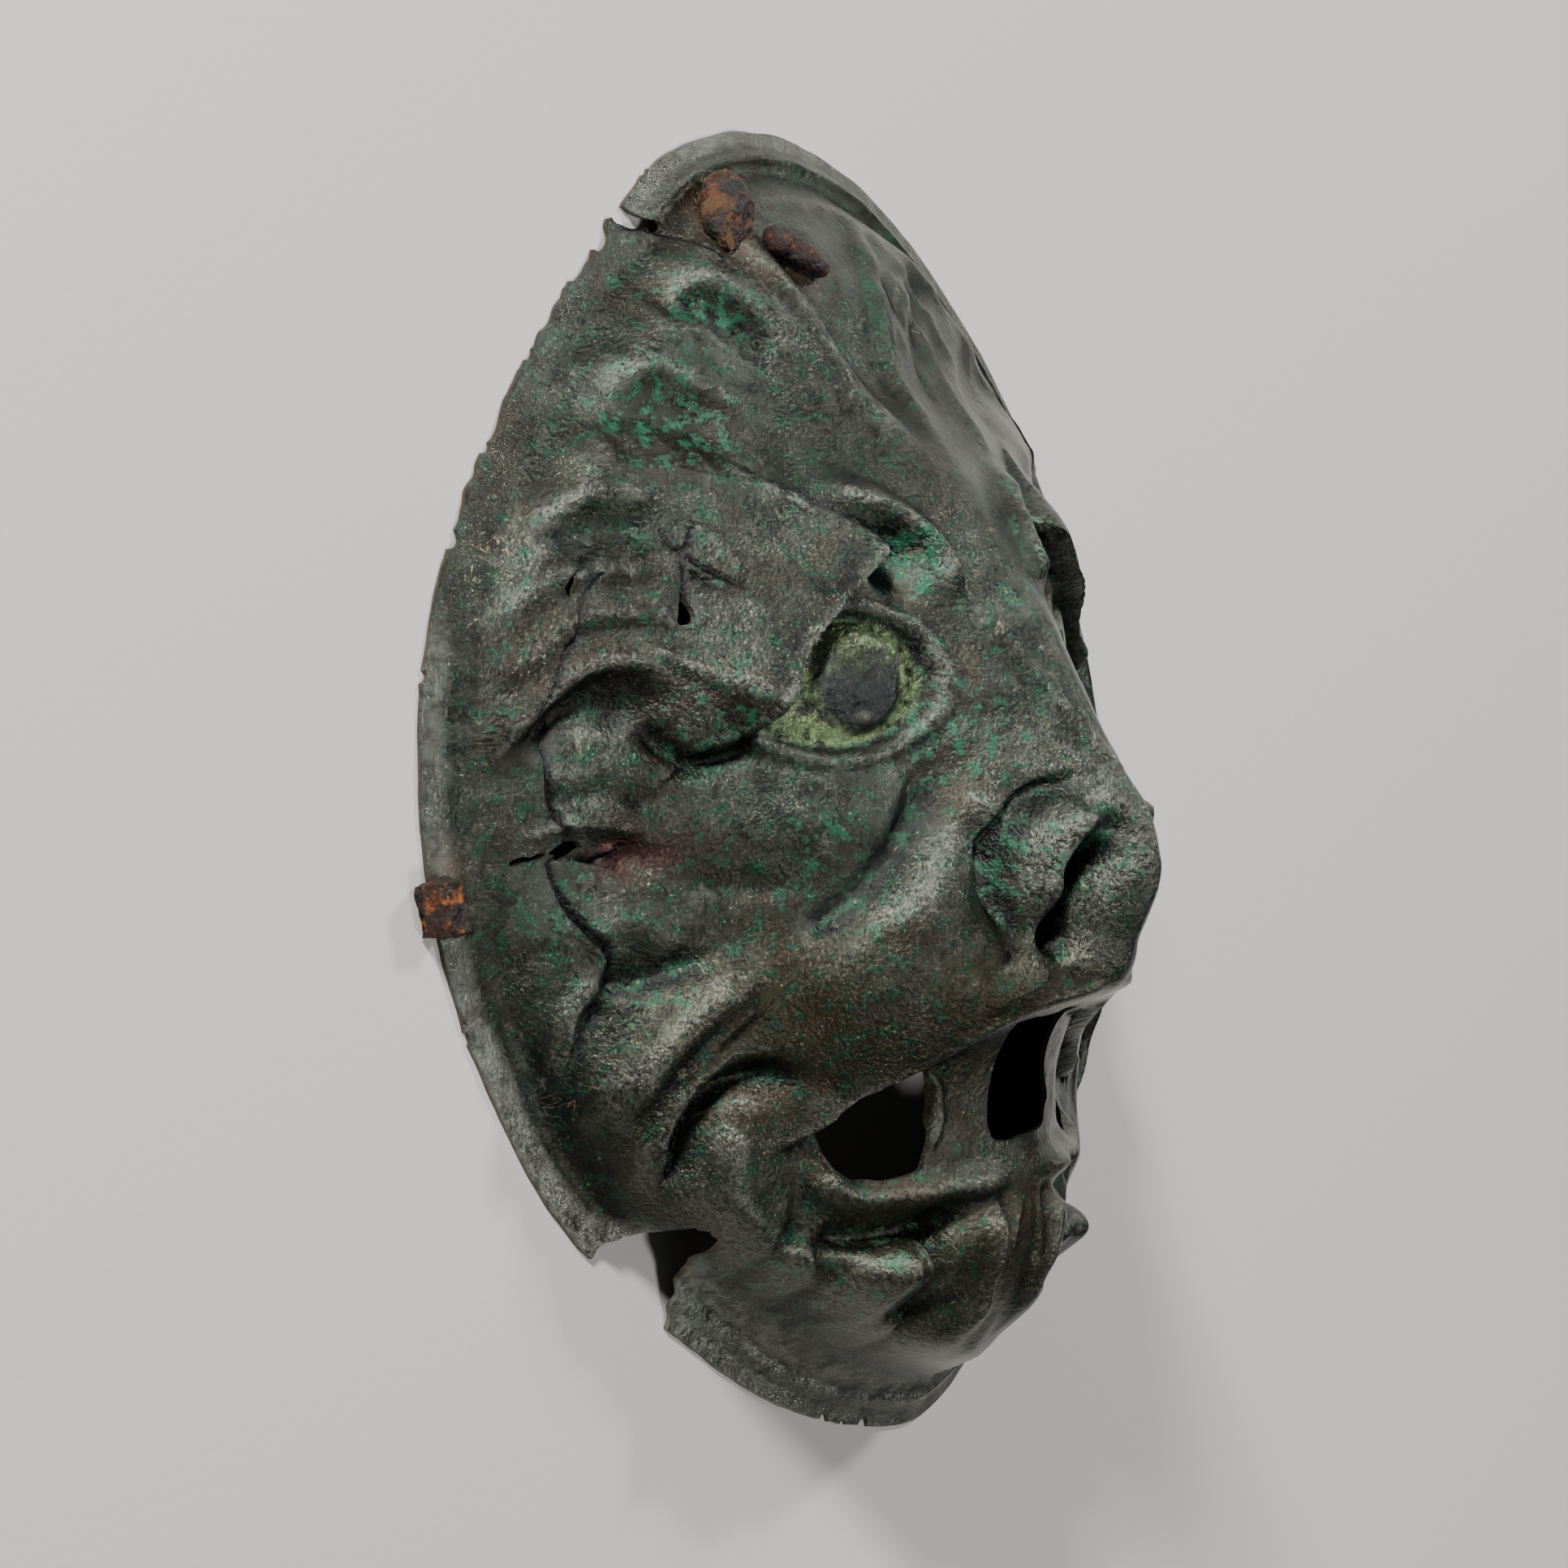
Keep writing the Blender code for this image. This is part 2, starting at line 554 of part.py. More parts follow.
def centre_on_base(pieces, moved):
    """Bring the middle of the whole box's underside to the origin."""
    bpy.context.view_layer.update()
    depsgraph = bpy.context.evaluated_depsgraph_get()
    corners = []
    for piece in pieces:
        solid = piece.evaluated_get(depsgraph)
        corners += [solid.matrix_world @ vert.co for vert in solid.data.vertices]
    low = Vector(min(c[axis] for c in corners) for axis in range(3))
    high = Vector(max(c[axis] for c in corners) for axis in range(3))
    shift = Vector(((low.x + high.x) / 2, (low.y + high.y) / 2, low.z))
    for obj in moved:
        obj.location -= shift


def new_collection(name):
    collection = bpy.data.collections.new(name)
    bpy.context.scene.collection.children.link(collection)
    return collection


def main():
    for obj in list(bpy.data.objects):
        bpy.data.objects.remove(obj)
    parts = new_collection("bronze lion mask")
    cutters = new_collection("cutters")
    bed = make_bed(cutters)
    pieces = [
        make_sheet(parts, cutters),
        make_lump(parts, bed),
        make_bent_nail(parts, cutters, bed),
        make_clench(parts, bed),
    ]
    for piece in pieces:
        colour(piece)
    centre_on_base(pieces, list(parts.objects) + list(cutters.objects))


main()
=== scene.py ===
"""Looks of the bronze lion mask: the hammered sheet in relief, its patina and its iron nails."""

from math import cos, pi, radians, sin

import bmesh
import bpy
import numpy as np
from mathutils import Matrix, Quaternion, Vector, noise


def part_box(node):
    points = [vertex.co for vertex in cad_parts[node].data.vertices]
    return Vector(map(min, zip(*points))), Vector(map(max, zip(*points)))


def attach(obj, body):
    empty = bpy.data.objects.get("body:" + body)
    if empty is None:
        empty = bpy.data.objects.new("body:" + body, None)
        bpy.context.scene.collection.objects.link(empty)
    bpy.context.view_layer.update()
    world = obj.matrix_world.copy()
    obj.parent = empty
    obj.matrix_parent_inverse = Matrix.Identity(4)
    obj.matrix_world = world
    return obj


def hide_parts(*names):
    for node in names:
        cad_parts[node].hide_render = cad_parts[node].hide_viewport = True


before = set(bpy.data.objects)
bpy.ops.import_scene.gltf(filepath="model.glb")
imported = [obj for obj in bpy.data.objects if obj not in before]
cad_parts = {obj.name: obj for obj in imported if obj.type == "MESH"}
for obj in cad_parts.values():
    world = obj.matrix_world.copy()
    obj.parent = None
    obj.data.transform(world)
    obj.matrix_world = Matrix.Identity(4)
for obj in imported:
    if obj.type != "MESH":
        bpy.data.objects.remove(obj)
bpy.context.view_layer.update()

bl_info = {
    "name": "Bronze Lion Mask",
    "version": (1, 0, 0),
    "blender": (4, 5, 0),
    "location": "View3D > Sidebar > Lion Mask",
    "description": "Models and finishes an ancient sheet-bronze lion mask",
    "category": "Add Mesh",
}

# The face is drawn in steps of the mask's height: a step is a millimetre on the real mask.
MASK_HEIGHT = 0.261
STEP = MASK_HEIGHT / 261.0

# Rim, in steps: a flat lip, a rounded bead and a groove.
LIP_WIDTH = 2.5
BEAD_WIDTH = 7.5
BEAD_HEIGHT = 2.7
GROOVE_HEIGHT = 1.3
RIM_ZONE = 10.0
LIP_SLOPE = 0.3
# How much of the bead is left round the rim: angle in degrees from +X and share.
BEAD_SHARE = [(0, 1.0), (106, 1.0), (111, 0.2), (145, 0.2), (155, 0.3), (205, 0.35),
              (240, 0.9), (360, 1.0)]

# Ragged stretch of the outline, by the broken corner: its ends, as angles in radians.
RAGGED_ENDS = (1.9, 2.75)
# Bites of the outline: grain in steps along a circle, share, seed; and the circle's radius.
RIM_BITES = [(6.0, 1.0, 9), (2.2, 0.5, 8)]
BITE_CIRCLE = 90.0
# Wandering of the torn edges: grain in steps, share, seed; and the gaps' share and noise.
TEAR_WANDER = [(4.0, 1.0, 6), (1.6, 0.6, 7)]
GAP_WANDER = (3.0, 0.3, 5)

# Sheet mesh: rings of the grid, those of them on the rim, and the share of faces split finer.
GRID_RINGS = 84
RIM_RINGS = 13
SHARP_SHARE = 0.125
# The half that the photograph shows ends at this x, and its bends count so many times as much.
NEAR_HALF = 6.0
NEAR_FAVOUR = 1.6
# Faces this close to a break are split too, in steps, and those where a crack is this strong.
BREAK_REACH = 0.9
CRACK_EDGE = 0.12
# Along the cracks, drawn so many times as wide, faces are split once more where it is this strong.
FINE_SPREAD = 1.4
FINE_EDGE = 0.25
# The way to a break is taken over this distance to each side, in steps.
BREAK_STEP = 0.2
# The wall is at most this many times as high as the sheet is thick, where the relief is steep.
STEEPEST_WALL = 2.6
# The slope is taken over this distance to each side, in steps.
SLOPE_REACH = 1.5

# Noise over the plan: cells to a side of its table, and a shift that keeps them over 0.
NOISE_CELLS = 97
NOISE_SHIFT = 300.0
# Hammer marks: distance from one to the next in steps, share of the depth, seed.
HAMMER_MARKS = [(11.0, 1.0, 11), (6.0, 0.6, 12), (3.0, 0.25, 13)]
# Slow warp of the whole sheet: grain and height in steps, seed.
WARP = (21.0, 0.7, 14)
# Crumbs of rust on the sheet by the nails: grain and height in steps, seed.
RUST_CRUMBS = (1.5, 0.5, 15)
# Lips of a crack: height in steps, and their width as so many cracks.
CRACK_LIP = (0.4, 3.0)

# Nails, in metres, with their places on the drawing in steps.
IRON_GAP = 0.0003
LUMP_SIZE = (0.0102, 0.0232, 0.0098)
LUMP_PLACE = (-18.4, 110.9)
LUMP_TURN = radians(-38.0)
SHANK_RADIUS = 0.0026
NAIL_HEAD_SIZE = (0.0066, 0.0066, 0.0054)
BENT_NAIL_WAY = [(-12.8, 104.0), (-10.2, 102.0), (-7.4, 99.8), (-4.6, 97.2)]
CLENCH_SIZE = (0.0062, 0.0100, 0.0068)
CLENCH_ANGLE = radians(186.0)
CLENCH_OVERHANG = 0.0042
# How far a nail's middle lies above the sheet, as a share of the lump's height or the shank's
# radius, how much the shank tapers, and how far the crust may stand out of its solid's box.
LUMP_LIFT = 0.12
SHANK_LIFT = 0.9
SHANK_TAPER = 0.22
CRUST_PLAY = 0.0012
# Shares of the rust's depth on the bent nail and on the clenched end.
BENT_RUST = 0.6
CLENCH_RUST = 0.8
# Blisters of the iron: size in millimetres and share of the depth.
BLISTERS = [(4.2, 1.0), (1.7, 0.55), (0.7, 0.3)]

# The photograph's view: degrees round the mask's side, up to its forehead, and of roll.
CAMERA_SIDE = 54.5
CAMERA_RISE = 3.0
CAMERA_ROLL = -5.0
CAMERA_DISTANCE = 1.2
CAMERA_LENS = 140.3
SENSOR_WIDTH = 36.0
CLIP_END = 20.0

# Studio: name, place, size in metres and power in watts of each lamp.
STUDIO_LIGHTS = [
    ("forehead_softbox", (-0.90, 1.00, 0.60), 0.25, 36.0),
    ("far_side_softbox", (0.74, 0.62, 0.82), 0.16, 9.0),
    ("overhead_softbox", (0.02, -0.48, 1.30), 0.36, 8.0),
]
LAMP_AIM = (0, 0, 0.03)
WORLD_STRENGTH = 0.06
WORLD_COLOUR = (0.9, 0.95, 1.0, 1.0)
FLOOR_HALF = 3.0

# Outline of the rim: angle in degrees from +X, radius in steps.
RIM = [(0, 114), (20, 113), (38, 114), (55, 118), (70, 124), (86, 128), (100, 125.5),
       (112, 117.5), (124, 112.5), (138, 111), (152, 113), (170, 114.5), (190, 114),
       (206, 112.5), (222, 112.5), (236, 112), (250, 116), (262, 122.5), (272, 128),
       (280, 132.5), (292, 129), (310, 119), (335, 114)]

# Plan of the head, in steps: half its width and height, its margin and least half width.
HEAD_HALF_WIDTH = 113.0
HEAD_HALF_HEIGHT = 131.0
HEAD_MARGIN = 6.0
HEAD_LEAST = 8.0
# Middle line of the head without its nose, and what the nose adds: y and height, in steps.
HEAD = [(131, 0), (120, 6), (113, 9), (100, 18), (75, 28), (61, 40), (50, 47), (35, 53),
        (18, 55), (0, 56), (-20, 58), (-35, 59), (-45, 57), (-60, 53), (-71, 52),
        (-83, 49), (-102, 38), (-115, 26), (-125, 14), (-134, 0)]
NOSE = [(62, 0), (50, 1.5), (39, 3.5), (24, 9.5), (7, 16), (-2, 20.5), (-10, 23.5),
        (-18, 23.5), (-26, 20), (-33, 15.5), (-39, 13), (-42.5, 10), (-45.5, 3), (-49, 0)]
NOSE_WIDTH = [(62, 12), (39, 14), (24, 20), (7, 23), (-6, 21), (-20, 16), (-30, 16),
              (-40, 24), (-50, 26)]
LIP_EDGE = [(0, -43), (7, -45), (21, -47.5), (28, -51), (40, -56.5), (48, -62), (70, -66)]
EYE_PLACE = (36.5, 20.0)
EYE_OPENING = [(22, 20.5), (24, 27.5), (30, 32), (38, 33), (45, 29.5), (51, 23.5), (57, 15),
               (52, 11.5), (45, 9), (37, 8.5), (29, 10.5), (23.5, 15)]
SOCKET_DEPTH = 4.0
SOCKET_RADIUS = 17.0
EYEBALL_RISE = 2.0
IRIS_RISE = 1.2
# Folds of the lids: height, distance out from the opening and width.
UPPER_FOLD = (2.3, 1.9, 1.7)
LOWER_FOLD = (0.5, 6.0, 1.5)
IRIS_PLACE = (35.0, 21.3)
IRIS_SIZE = (8.0, 10.6)
PUPIL_PLACE = (36.5, 15.5)
PUPIL_RADIUS = 2.0
PUPIL_DEPTH = 1.0
BROW_SWELL = 8.0
BROW_REACH = 14.0
BROW_FALL = 2.2
LIP_DROP = 5.5
BROW_EDGE = [(25, 50), (27.5, 46.5), (33, 42), (39.5, 37), (46, 32), (51, 26.5),
             (55, 20.5), (58.5, 16), (62.5, 13)]

# Ridges and hollows (height under 0), each along a smooth way from the middle line outwards:
# height, width on the left of the way, width on its right, the way. All in steps.
FOREHEAD = [
    (3.2, 3.0, 4.4, [(26, 113), (19, 101), (12, 86), (8, 72), (5, 58)]),
    (-1.1, 1.8, 1.8, [(17, 110), (11, 96), (5, 80), (1, 64)]),
    (0.9, 1.8, 1.8, [(34, 112), (26, 100), (18, 88), (13, 76)]),
]
LOCKS = [
    (2.6, 3.2, 4.4, [(52, 92), (47, 99), (37, 101), (28, 95), (20, 84), (15, 72)]),
    (-2.6, 3.8, 4.6, [(46, 91), (38, 94), (30, 88), (24, 79)]),
    (0.8, 1.8, 2.0, [(48, 87), (40, 90), (32, 84), (27, 76)]),
    (1.2, 2.0, 2.4, [(60, 89), (54, 94), (46, 96)]),
    (2.6, 3.2, 4.8, [(74, 74), (64, 83), (52, 84), (41, 77), (32, 67)]),
    (-3.6, 4.6, 5.8, [(72, 71), (61, 75), (50, 72), (42, 65)]),
    (1.2, 2.6, 3.2, [(79, 66), (68, 66), (56, 62), (44, 58)]),
    (2.4, 3.0, 4.0, [(88, 54), (79, 60), (68, 60), (56, 56)]),
    (-2.6, 3.0, 3.6, [(85, 51), (74, 53), (62, 52)]),
    (1.0, 2.0, 2.4, [(86, 45), (76, 46), (64, 45)]),
    (3.6, 2.2, 4.6, [(101, 12), (92, 21), (83, 28), (74, 28), (67, 21)]),
    (1.8, 2.0, 3.0, [(98, 25), (88, 34), (78, 38), (66, 35)]),
    (-3.6, 3.6, 4.4, [(95, 12), (85, 20), (78, 20), (73.5, 16)]),
    (1.6, 4.6, 4.0, [(92, 6), (82, 7), (75, 4)]),
    (0.8, 1.8, 1.8, [(99, 35), (91, 42), (82, 44)]),
]
CHEEK = [
    (-1.6, 2.0, 2.4, [(91, 4), (82, 6), (74, 3)]),
    (-3.4, 1.8, 2.6, [(56, 13), (61, 9.5), (67, 9.5), (71.5, 14), (73, 20)]),
    (1.2, 2.0, 2.4, [(92, 0), (82, 1), (74, -2)]),
    (-1.4, 2.2, 2.6, [(72, -13), (62, -14), (52, -17)]),
    (1.6, 3.6, 4.0, [(88, -22), (80, -20), (68, -24)]),
    (-3.0, 2.4, 3.2, [(86, -29), (77, -30), (66, -27)]),
    (6.2, 4.2, 6.0, [(58, -29), (68, -34), (76, -41), (81, -49), (82, -60)]),
    (1.2, 1.3, 1.6, [(60, -35), (67, -42), (73, -51), (76, -62)]),
    (2.0, 2.0, 2.6, [(85, -26), (91, -36), (90, -48)]),
    (-2.2, 1.8, 2.0, [(83, -31), (88, -40), (87, -52)]),
    (-6.2, 2.8, 4.2, [(48, -54), (58, -50), (66, -53), (70, -62), (68, -75)]),
    (2.4, 2.2, 2.6, [(63, -44), (71, -52), (75, -62), (73, -76)]),
    (2.4, 3.4, 4.0, [(60, -58), (63, -66), (60, -78), (54, -88)]),
]
NOSE_AND_MUZZLE = [
    (4.6, 2.8, 3.0, [(31, 58), (24, 55), (18.5, 50), (15.5, 45), (15.5, 39), (19, 35)]),
    (5.6, 3.4, 3.4, [(7, -6), (12, -10), (16, -18), (16, -29)]),
    (-4.2, 1.8, 2.4, [(5, -1), (12, -3), (18, -9), (21.5, -19), (20, -32)]),
    (-12.5, 3.0, 2.6, [(6.5, -12), (9.5, -19), (11.5, -27), (12.3, -36)]),
    (2.0, 1.8, 2.0, [(2, -40.5), (9, -42.5), (17, -45), (30, -50)]),
    (4.2, 4.2, 8.0, [(17, 0), (23, -7), (33, -18), (45, -27)]),
    (-3.8, 3.6, 3.2, [(24, 4), (35, -12), (45, -21), (53, -26)]),
]
CHIN = [
    (4.2, 2.4, 3.4, [(47, -68), (40, -76), (24, -77.5), (0, -77)]),
    (-5.7, 2.4, 3.4, [(46, -83), (30, -85), (14, -83)]),
    (3.4, 3.2, 3.6, [(42, -91), (28, -93), (16, -92)]),
    (-2.6, 2.2, 2.8, [(38, -100), (24, -101), (10, -99)]),
    (4.2, 2.8, 3.4, [(12, -80), (10, -95), (8, -112)]),
    (-4.9, 2.2, 3.0, [(21, -80), (20, -98), (16, -115)]),
    (3.9, 3.0, 3.4, [(29, -84), (30, -98), (26, -114)]),
    (-3.4, 2.4, 2.6, [(38, -86), (39, -98), (35, -110)]),
    (-2.4, 1.6, 2.0, [(48, -78), (50, -90), (44, -104)]),
    (-3.0, 1.8, 2.4, [(44, -84), (41, -91), (36, -99), (30, -106)]),
    (0.9, 0.9, 0.9, [(3, -79), (5, -90), (6, -101)]),
    (-0.9, 0.9, 0.9, [(7, -79), (8, -90), (9, -100)]),
]
# Swellings on both halves: middle, half lengths, height, turn in degrees.
SWELLINGS = [
    ((63, 20), (8.5, 8), 5.2, 0),
    ((23.5, 42.5), (3.4, 6.0), -6.5, 15),
    ((45, -2), (15, 11), 4.0, 0),
    ((30, -34), (21, 19), 8.5, -25),
    ((13.5, -20), (6.5, 11), 4.0, 0),
]

# Dents and folds that are only on one half: as the ridges above, with x to both sides.
ONE_SIDE = [
    (2.4, 1.6, 3.0, [(-66, -86), (-58, -84), (-50, -91), (-46, -99)]),
    (-1.6, 3.0, 3.0, [(-53, -88), (-49, -96), (-46, -102)]),
    (1.2, 1.2, 1.6, [(-98, -2), (-90, -0.5), (-82, -1), (-75, -4)]),
    (0.9, 0.7, 1.4, [(-60, 53), (-57, 52), (-55, 47), (-54, 42)]),
    (0.8, 1.0, 1.0, [(-68, 41), (-69, 37), (-67, 33)]),
    (1.6, 1.2, 1.8, [(-27, -54), (-23, -58), (-22, -64), (-24, -71)]),
    (1.1, 1.8, 2.4, [(20, 104), (31, 86), (31, 70), (28, 60)]),
    (-0.9, 1.6, 2.0, [(12, 105), (20, 92), (22, 78), (20, 66)]),
    (0.8, 1.4, 1.8, [(28, 106), (40, 90), (44, 78)]),
]

# Short punch marks below the locks: their form, then how many in a row and its way.
PUNCH_MARK = ((1.3, 3.0), 0.6, -12)
PUNCH_ROWS = [
    (5, [(-44, 97), (-38, 95), (-32, 90), (-27, 86)]),
    (8, [(-72, 70), (-62, 69), (-53, 66), (-44, 61), (-38, 57)]),
    (4, [(-83, 46), (-78, 46), (-72, 45)]),
]

# Swellings and hollows on one half only: where the face's own left half lies lower than the
# right, and the flaked hollow beyond the cheek's tear with its curled flap.
SIDE_SWELLINGS = [
    ((60, 17), (18, 18), -9.0, 0),
    ((34, -48), (16, 12), -4.0, 0),
    ((37, -63), (11, 13), -3.5, 0),
    ((60, -66), (17, 15), -4.5, 0),
    ((-79, -7), (5.5, 3.4), -2.6, -10),
    ((-80.5, -5.6), (1.5, 1.2), 2.0, 20),
]
# How much fainter the locks and the forehead's folds are on the face's own left half.
FAR_FAINTNESS = 0.5

# Distance given for places too far from an opening to matter, in steps.
FAR_OFF = 30.0
# Openings and breaks through the sheet, in steps.
NEAR_GAP = [(-28, -51.5), (-35, -54), (-42.5, -57.5), (-45.5, -61), (-44, -66), (-41.5, -71.5),
            (-35, -73.5), (-27, -73.5), (-24.5, -70.5), (-24, -60)]
FAR_GAP = [(31.5, -53.5), (36, -55.5), (41, -58), (43, -66), (41, -71), (36, -73.5), (31.5, -72.5),
           (30.5, -66), (30.5, -59)]
MIDDLE_GAP = [(-9, -46.5), (0, -46.5), (9, -46.5), (9.5, -56), (12.5, -63), (10.5, -66), (9, -69),
              (0, -70), (-9, -69), (-9.5, -58)]
RIM_NOTCH = [(-86, -100), (-76, -82), (-66, -79), (-60, -80.5), (-55.5, -86), (-55.5, -93),
             (-56, -100), (-70, -118)]
BROKEN_CORNER = [(-47, 121), (-42.5, 111.5), (-38, 109.6), (-31, 109.2), (-31, 110.8),
                 (-36, 112.8), (-39, 117), (-38.5, 126)]
CHEEK_TEAR = [(-101, -6.3), (-96, -4.4), (-91, -3.6), (-87, -3.4), (-83.5, -4.4), (-87, -5.2),
              (-91, -5.6), (-96, -6.7)]
FAR_TEAR = [(70, 74), (73, 70), (76, 64), (78.5, 58), (77, 57.5), (74, 62), (71, 68), (69, 72)]
KEYHOLE = [(-64.9, 42.0), (-64.3, 38.5), (-64.0, 36.0), (-64.6, 34.6), (-67.2, 34.8),
           (-66.0, 37.5)]
SPLIT = [(-80.8, 46.6), (-81.2, 44.0), (-81.8, 40.8), (-82.6, 41.8), (-83.2, 43.8),
         (-81.8, 45.4)]
# Round bites out of the rim: place and radius.
RIM_NICKS = [((-99, 54.5), 2.4), ((-47, 109.5), 3.6), ((-57, 100.5), 1.6), ((-71, 87.6), 1.4),
             ((-86.5, 70.5), 1.4), ((-6.6, -125.3), 1.6), ((-0.5, -127.4), 1.2),
             ((6.5, -128.6), 1.5), ((-110.6, 30), 1.2), ((-107.6, -37), 1.3), ((-29.5, 121), 1.6),
             ((-16, -124), 1.0)]
# The nicks' share of the torn edges' wandering.
NICK_SHARE = 0.5
# Torn outlines, with the share of the torn edges' wandering that each has.
TORN_OUTLINES = [(RIM_NOTCH, 1.0), (BROKEN_CORNER, 1.0), (CHEEK_TEAR, 1.0), (FAR_TEAR, 1.0),
                 (KEYHOLE, 0.2), (SPLIT, 0.2)]

# Cracks, as sharp grooves that leave the sheet whole: half width and way, in steps.
CRACKS = [
    (0.60, [(-63, 51), (-63, 49), (-62, 48), (-63, 44.5), (-64, 41), (-65, 38)]),
    (0.45, [(-61.5, 48), (-59.5, 50.5), (-58, 53)]),
    (0.60, [(-61.5, 47.5), (-60, 45), (-56.5, 41.5)]),
    (0.45, [(-62.5, 44.5), (-61, 43), (-60, 41)]),
    (0.60, [(-77, 50), (-79, 48), (-81, 46)]),
    (0.45, [(-78, 44), (-82, 38), (-83, 34), (-85, 32), (-87, 29), (-91, 22)]),
    (0.60, [(-87.5, 18), (-89, 14), (-90, 9), (-90, 4), (-89, 0), (-88, -3)]),
    (0.60, [(-88, -5), (-91, -7), (-90, -13), (-88, -18), (-84, -24), (-82, -31)]),
    (0.50, [(-87, -6), (-83, -7), (-80, -5.5)]),
    (0.60, [(-39, 110), (-33, 109), (-29, 106), (-28, 101)]),
]

# Colour on the sheet: middle, reach and strength of each spot, and widths and way of a streak.
RUST_SPOTS = [((-20, 108), 9, 0.75), ((-9, 101), 6, 0.6), ((-110, -6), 5, 0.8),
              ((-15, -62), 8, 0.35), ((15, -64), 8, 0.4), ((-30, -78), 8, 0.3), ((77, 58), 5, 0.9),
              ((0, -84), 10, 0.3)]
RED_SPOTS = [((-80, -6), 6, 1.0), ((-75, -6), 5, 1.0), ((-88, 27), 4, 0.7), ((-91, 20), 5, 0.5),
             ((-70, 20), 6, 0.4)]
GREEN_STREAKS = [(1.6, 1.6, [(14, 101), (10, 92), (7, 80)]),
                 (2.6, 2.6, [(-56, -91), (-50, -95), (-46, -102)]),
                 (2.2, 2.2, [(-18, 50), (-17.5, 43), (-20, 36)])]
GREEN_SPOTS = [((-52, 73), 12, 1.0), ((-33, 92), 9, 0.8), ((-23, 12), 11, 0.9),
               ((-23, 42), 8, 0.7), ((-64, 16), 9, 0.7), ((-14, -16), 10, 0.8),
               ((-45, -9), 10, 0.6), ((-30, -88), 12, 0.7), ((-50, -94), 8, 0.9),
               ((-88, -14), 9, 0.6), ((18, 50), 9, 0.8), ((-80, -32), 7, 0.6), ((-3, 35), 7, 0.5),
               ((-37, 112), 6, 0.5)]
OLIVE_SPOTS = [((-58, -42), 20, 0.9), ((-24, -44), 18, 0.9), ((-30, -92), 20, 0.8),
               ((-6, -92), 16, 0.9), ((-78, -76), 16, 0.6), ((-45, -66), 12, 0.8),
               ((-85, 68), 14, 0.4)]
# Bend of the relief, for the painted shade and the malachite in hollows: over how many steps it
# is taken, narrow and wide, and how many times less the wide one counts.
NARROW_BEND = 2.5
WIDE_BEND = 5.0
WIDE_BEND_SCALE = 2.8
# Stretches of the rim, in degrees from +X: worn bare, pale from here on, and broad and pale.
# The paleness is dust, and painted light where the rim stands lit.
WORN_RIM = (108.0, 160.0)
PALE_RIM_START = 185.0
LOWER_LIP = (222.0, 292.0)
# Noises of the skin, from clouds to dust and hairs: grain in millimetres, detail, roughness
# and distortion.
SKIN_NOISES = [(26.0, 4.0, 0.6, 0.4), (7.5, 7.0, 0.68, 0.3), (3.2, 6.0, 0.72, 0.0),
               (1.0, 4.0, 0.62, 0.0), (0.6, 3.0, 0.7, 0.0), (5.0, 1.0, 0.5, 1.6)]
# How much fainter the colours of the front are inside.
INNER_FADE = 0.5
# Values that the mesh carries for the shader.
SHEET_VALUES = ("hollow", "crest", "crack", "eye_ring", "iris", "copper_red", "green",
                "green_spots", "olive", "rust", "rim_dust_and_light", "inner_side")


def smoothstep(t):
    t = np.clip(t, 0.0, 1.0)
    return t * t * (3.0 - 2.0 * t)


def hermite(x, knots, values, slopes):
    """Cubic through the knots with the given slopes."""
    i = np.clip(np.searchsorted(knots, x, side="right") - 1, 0, len(knots) - 2)
    h = knots[i + 1] - knots[i]
    t = (x - knots[i]) / h
    start = (2 * t ** 3 - 3 * t ** 2 + 1) * values[i] + (t ** 3 - 2 * t ** 2 + t) * h * slopes[i]
    end = (3 * t ** 2 - 2 * t ** 3) * values[i + 1] + (t ** 3 - t ** 2) * h * slopes[i + 1]
    return start + end


def profile(x, table):
    """Smooth value at x through a table's points, with no overshoot between them."""
    points = np.array(sorted(table), float)
    knots, values = points[:, 0], points[:, 1]
    steep = np.abs(np.diff(values) / np.diff(knots))
    rising = np.sign(np.diff(values))
    limit = 3.0 * np.concatenate([steep[:1], np.minimum(steep[:-1], steep[1:]), steep[-1:]])
    turn = np.concatenate([[1.0], rising[:-1] * rising[1:] > 0, [1.0]])
    slopes = np.clip(np.gradient(values, knots), -limit, limit) * turn
    return hermite(np.clip(x, knots[0], knots[-1]), knots, values, slopes)


def rim_radius(angle):
    """Radius of the outline at an angle from +X."""
    points = np.array(RIM, float)
    around = np.concatenate([points[-3:] - [360, 0], points, points[:3] + [360, 0]])
    knots, values = around[:, 0], around[:, 1]
    return hermite(np.degrees(angle) % 360, knots, values, np.gradient(values, knots))


def rim_depth(x, y):
    """Distance in from the rim."""
    return rim_radius(np.arctan2(y, x)) - np.hypot(x, y)


def bead(x, y, depth):
    """Height of the rim: a lip, a low bead and the groove inside it. The bead is worn at the
    side of the face, and beside the broken corner the sheet ends thin."""
    up = smoothstep((depth - LIP_WIDTH) / (0.4 * BEAD_WIDTH))
    down = smoothstep((depth - LIP_WIDTH - 0.4 * BEAD_WIDTH) / (0.6 * BEAD_WIDTH))
    around, share = np.array(BEAD_SHARE).T
    height = BEAD_HEIGHT * np.interp(np.degrees(np.arctan2(y, x)) % 360, around, share)
    lip = 1.0 + LIP_SLOPE * np.clip(depth, 0, LIP_WIDTH)
    return lip + height * up - np.maximum(height - GROOVE_HEIGHT, 0) * down


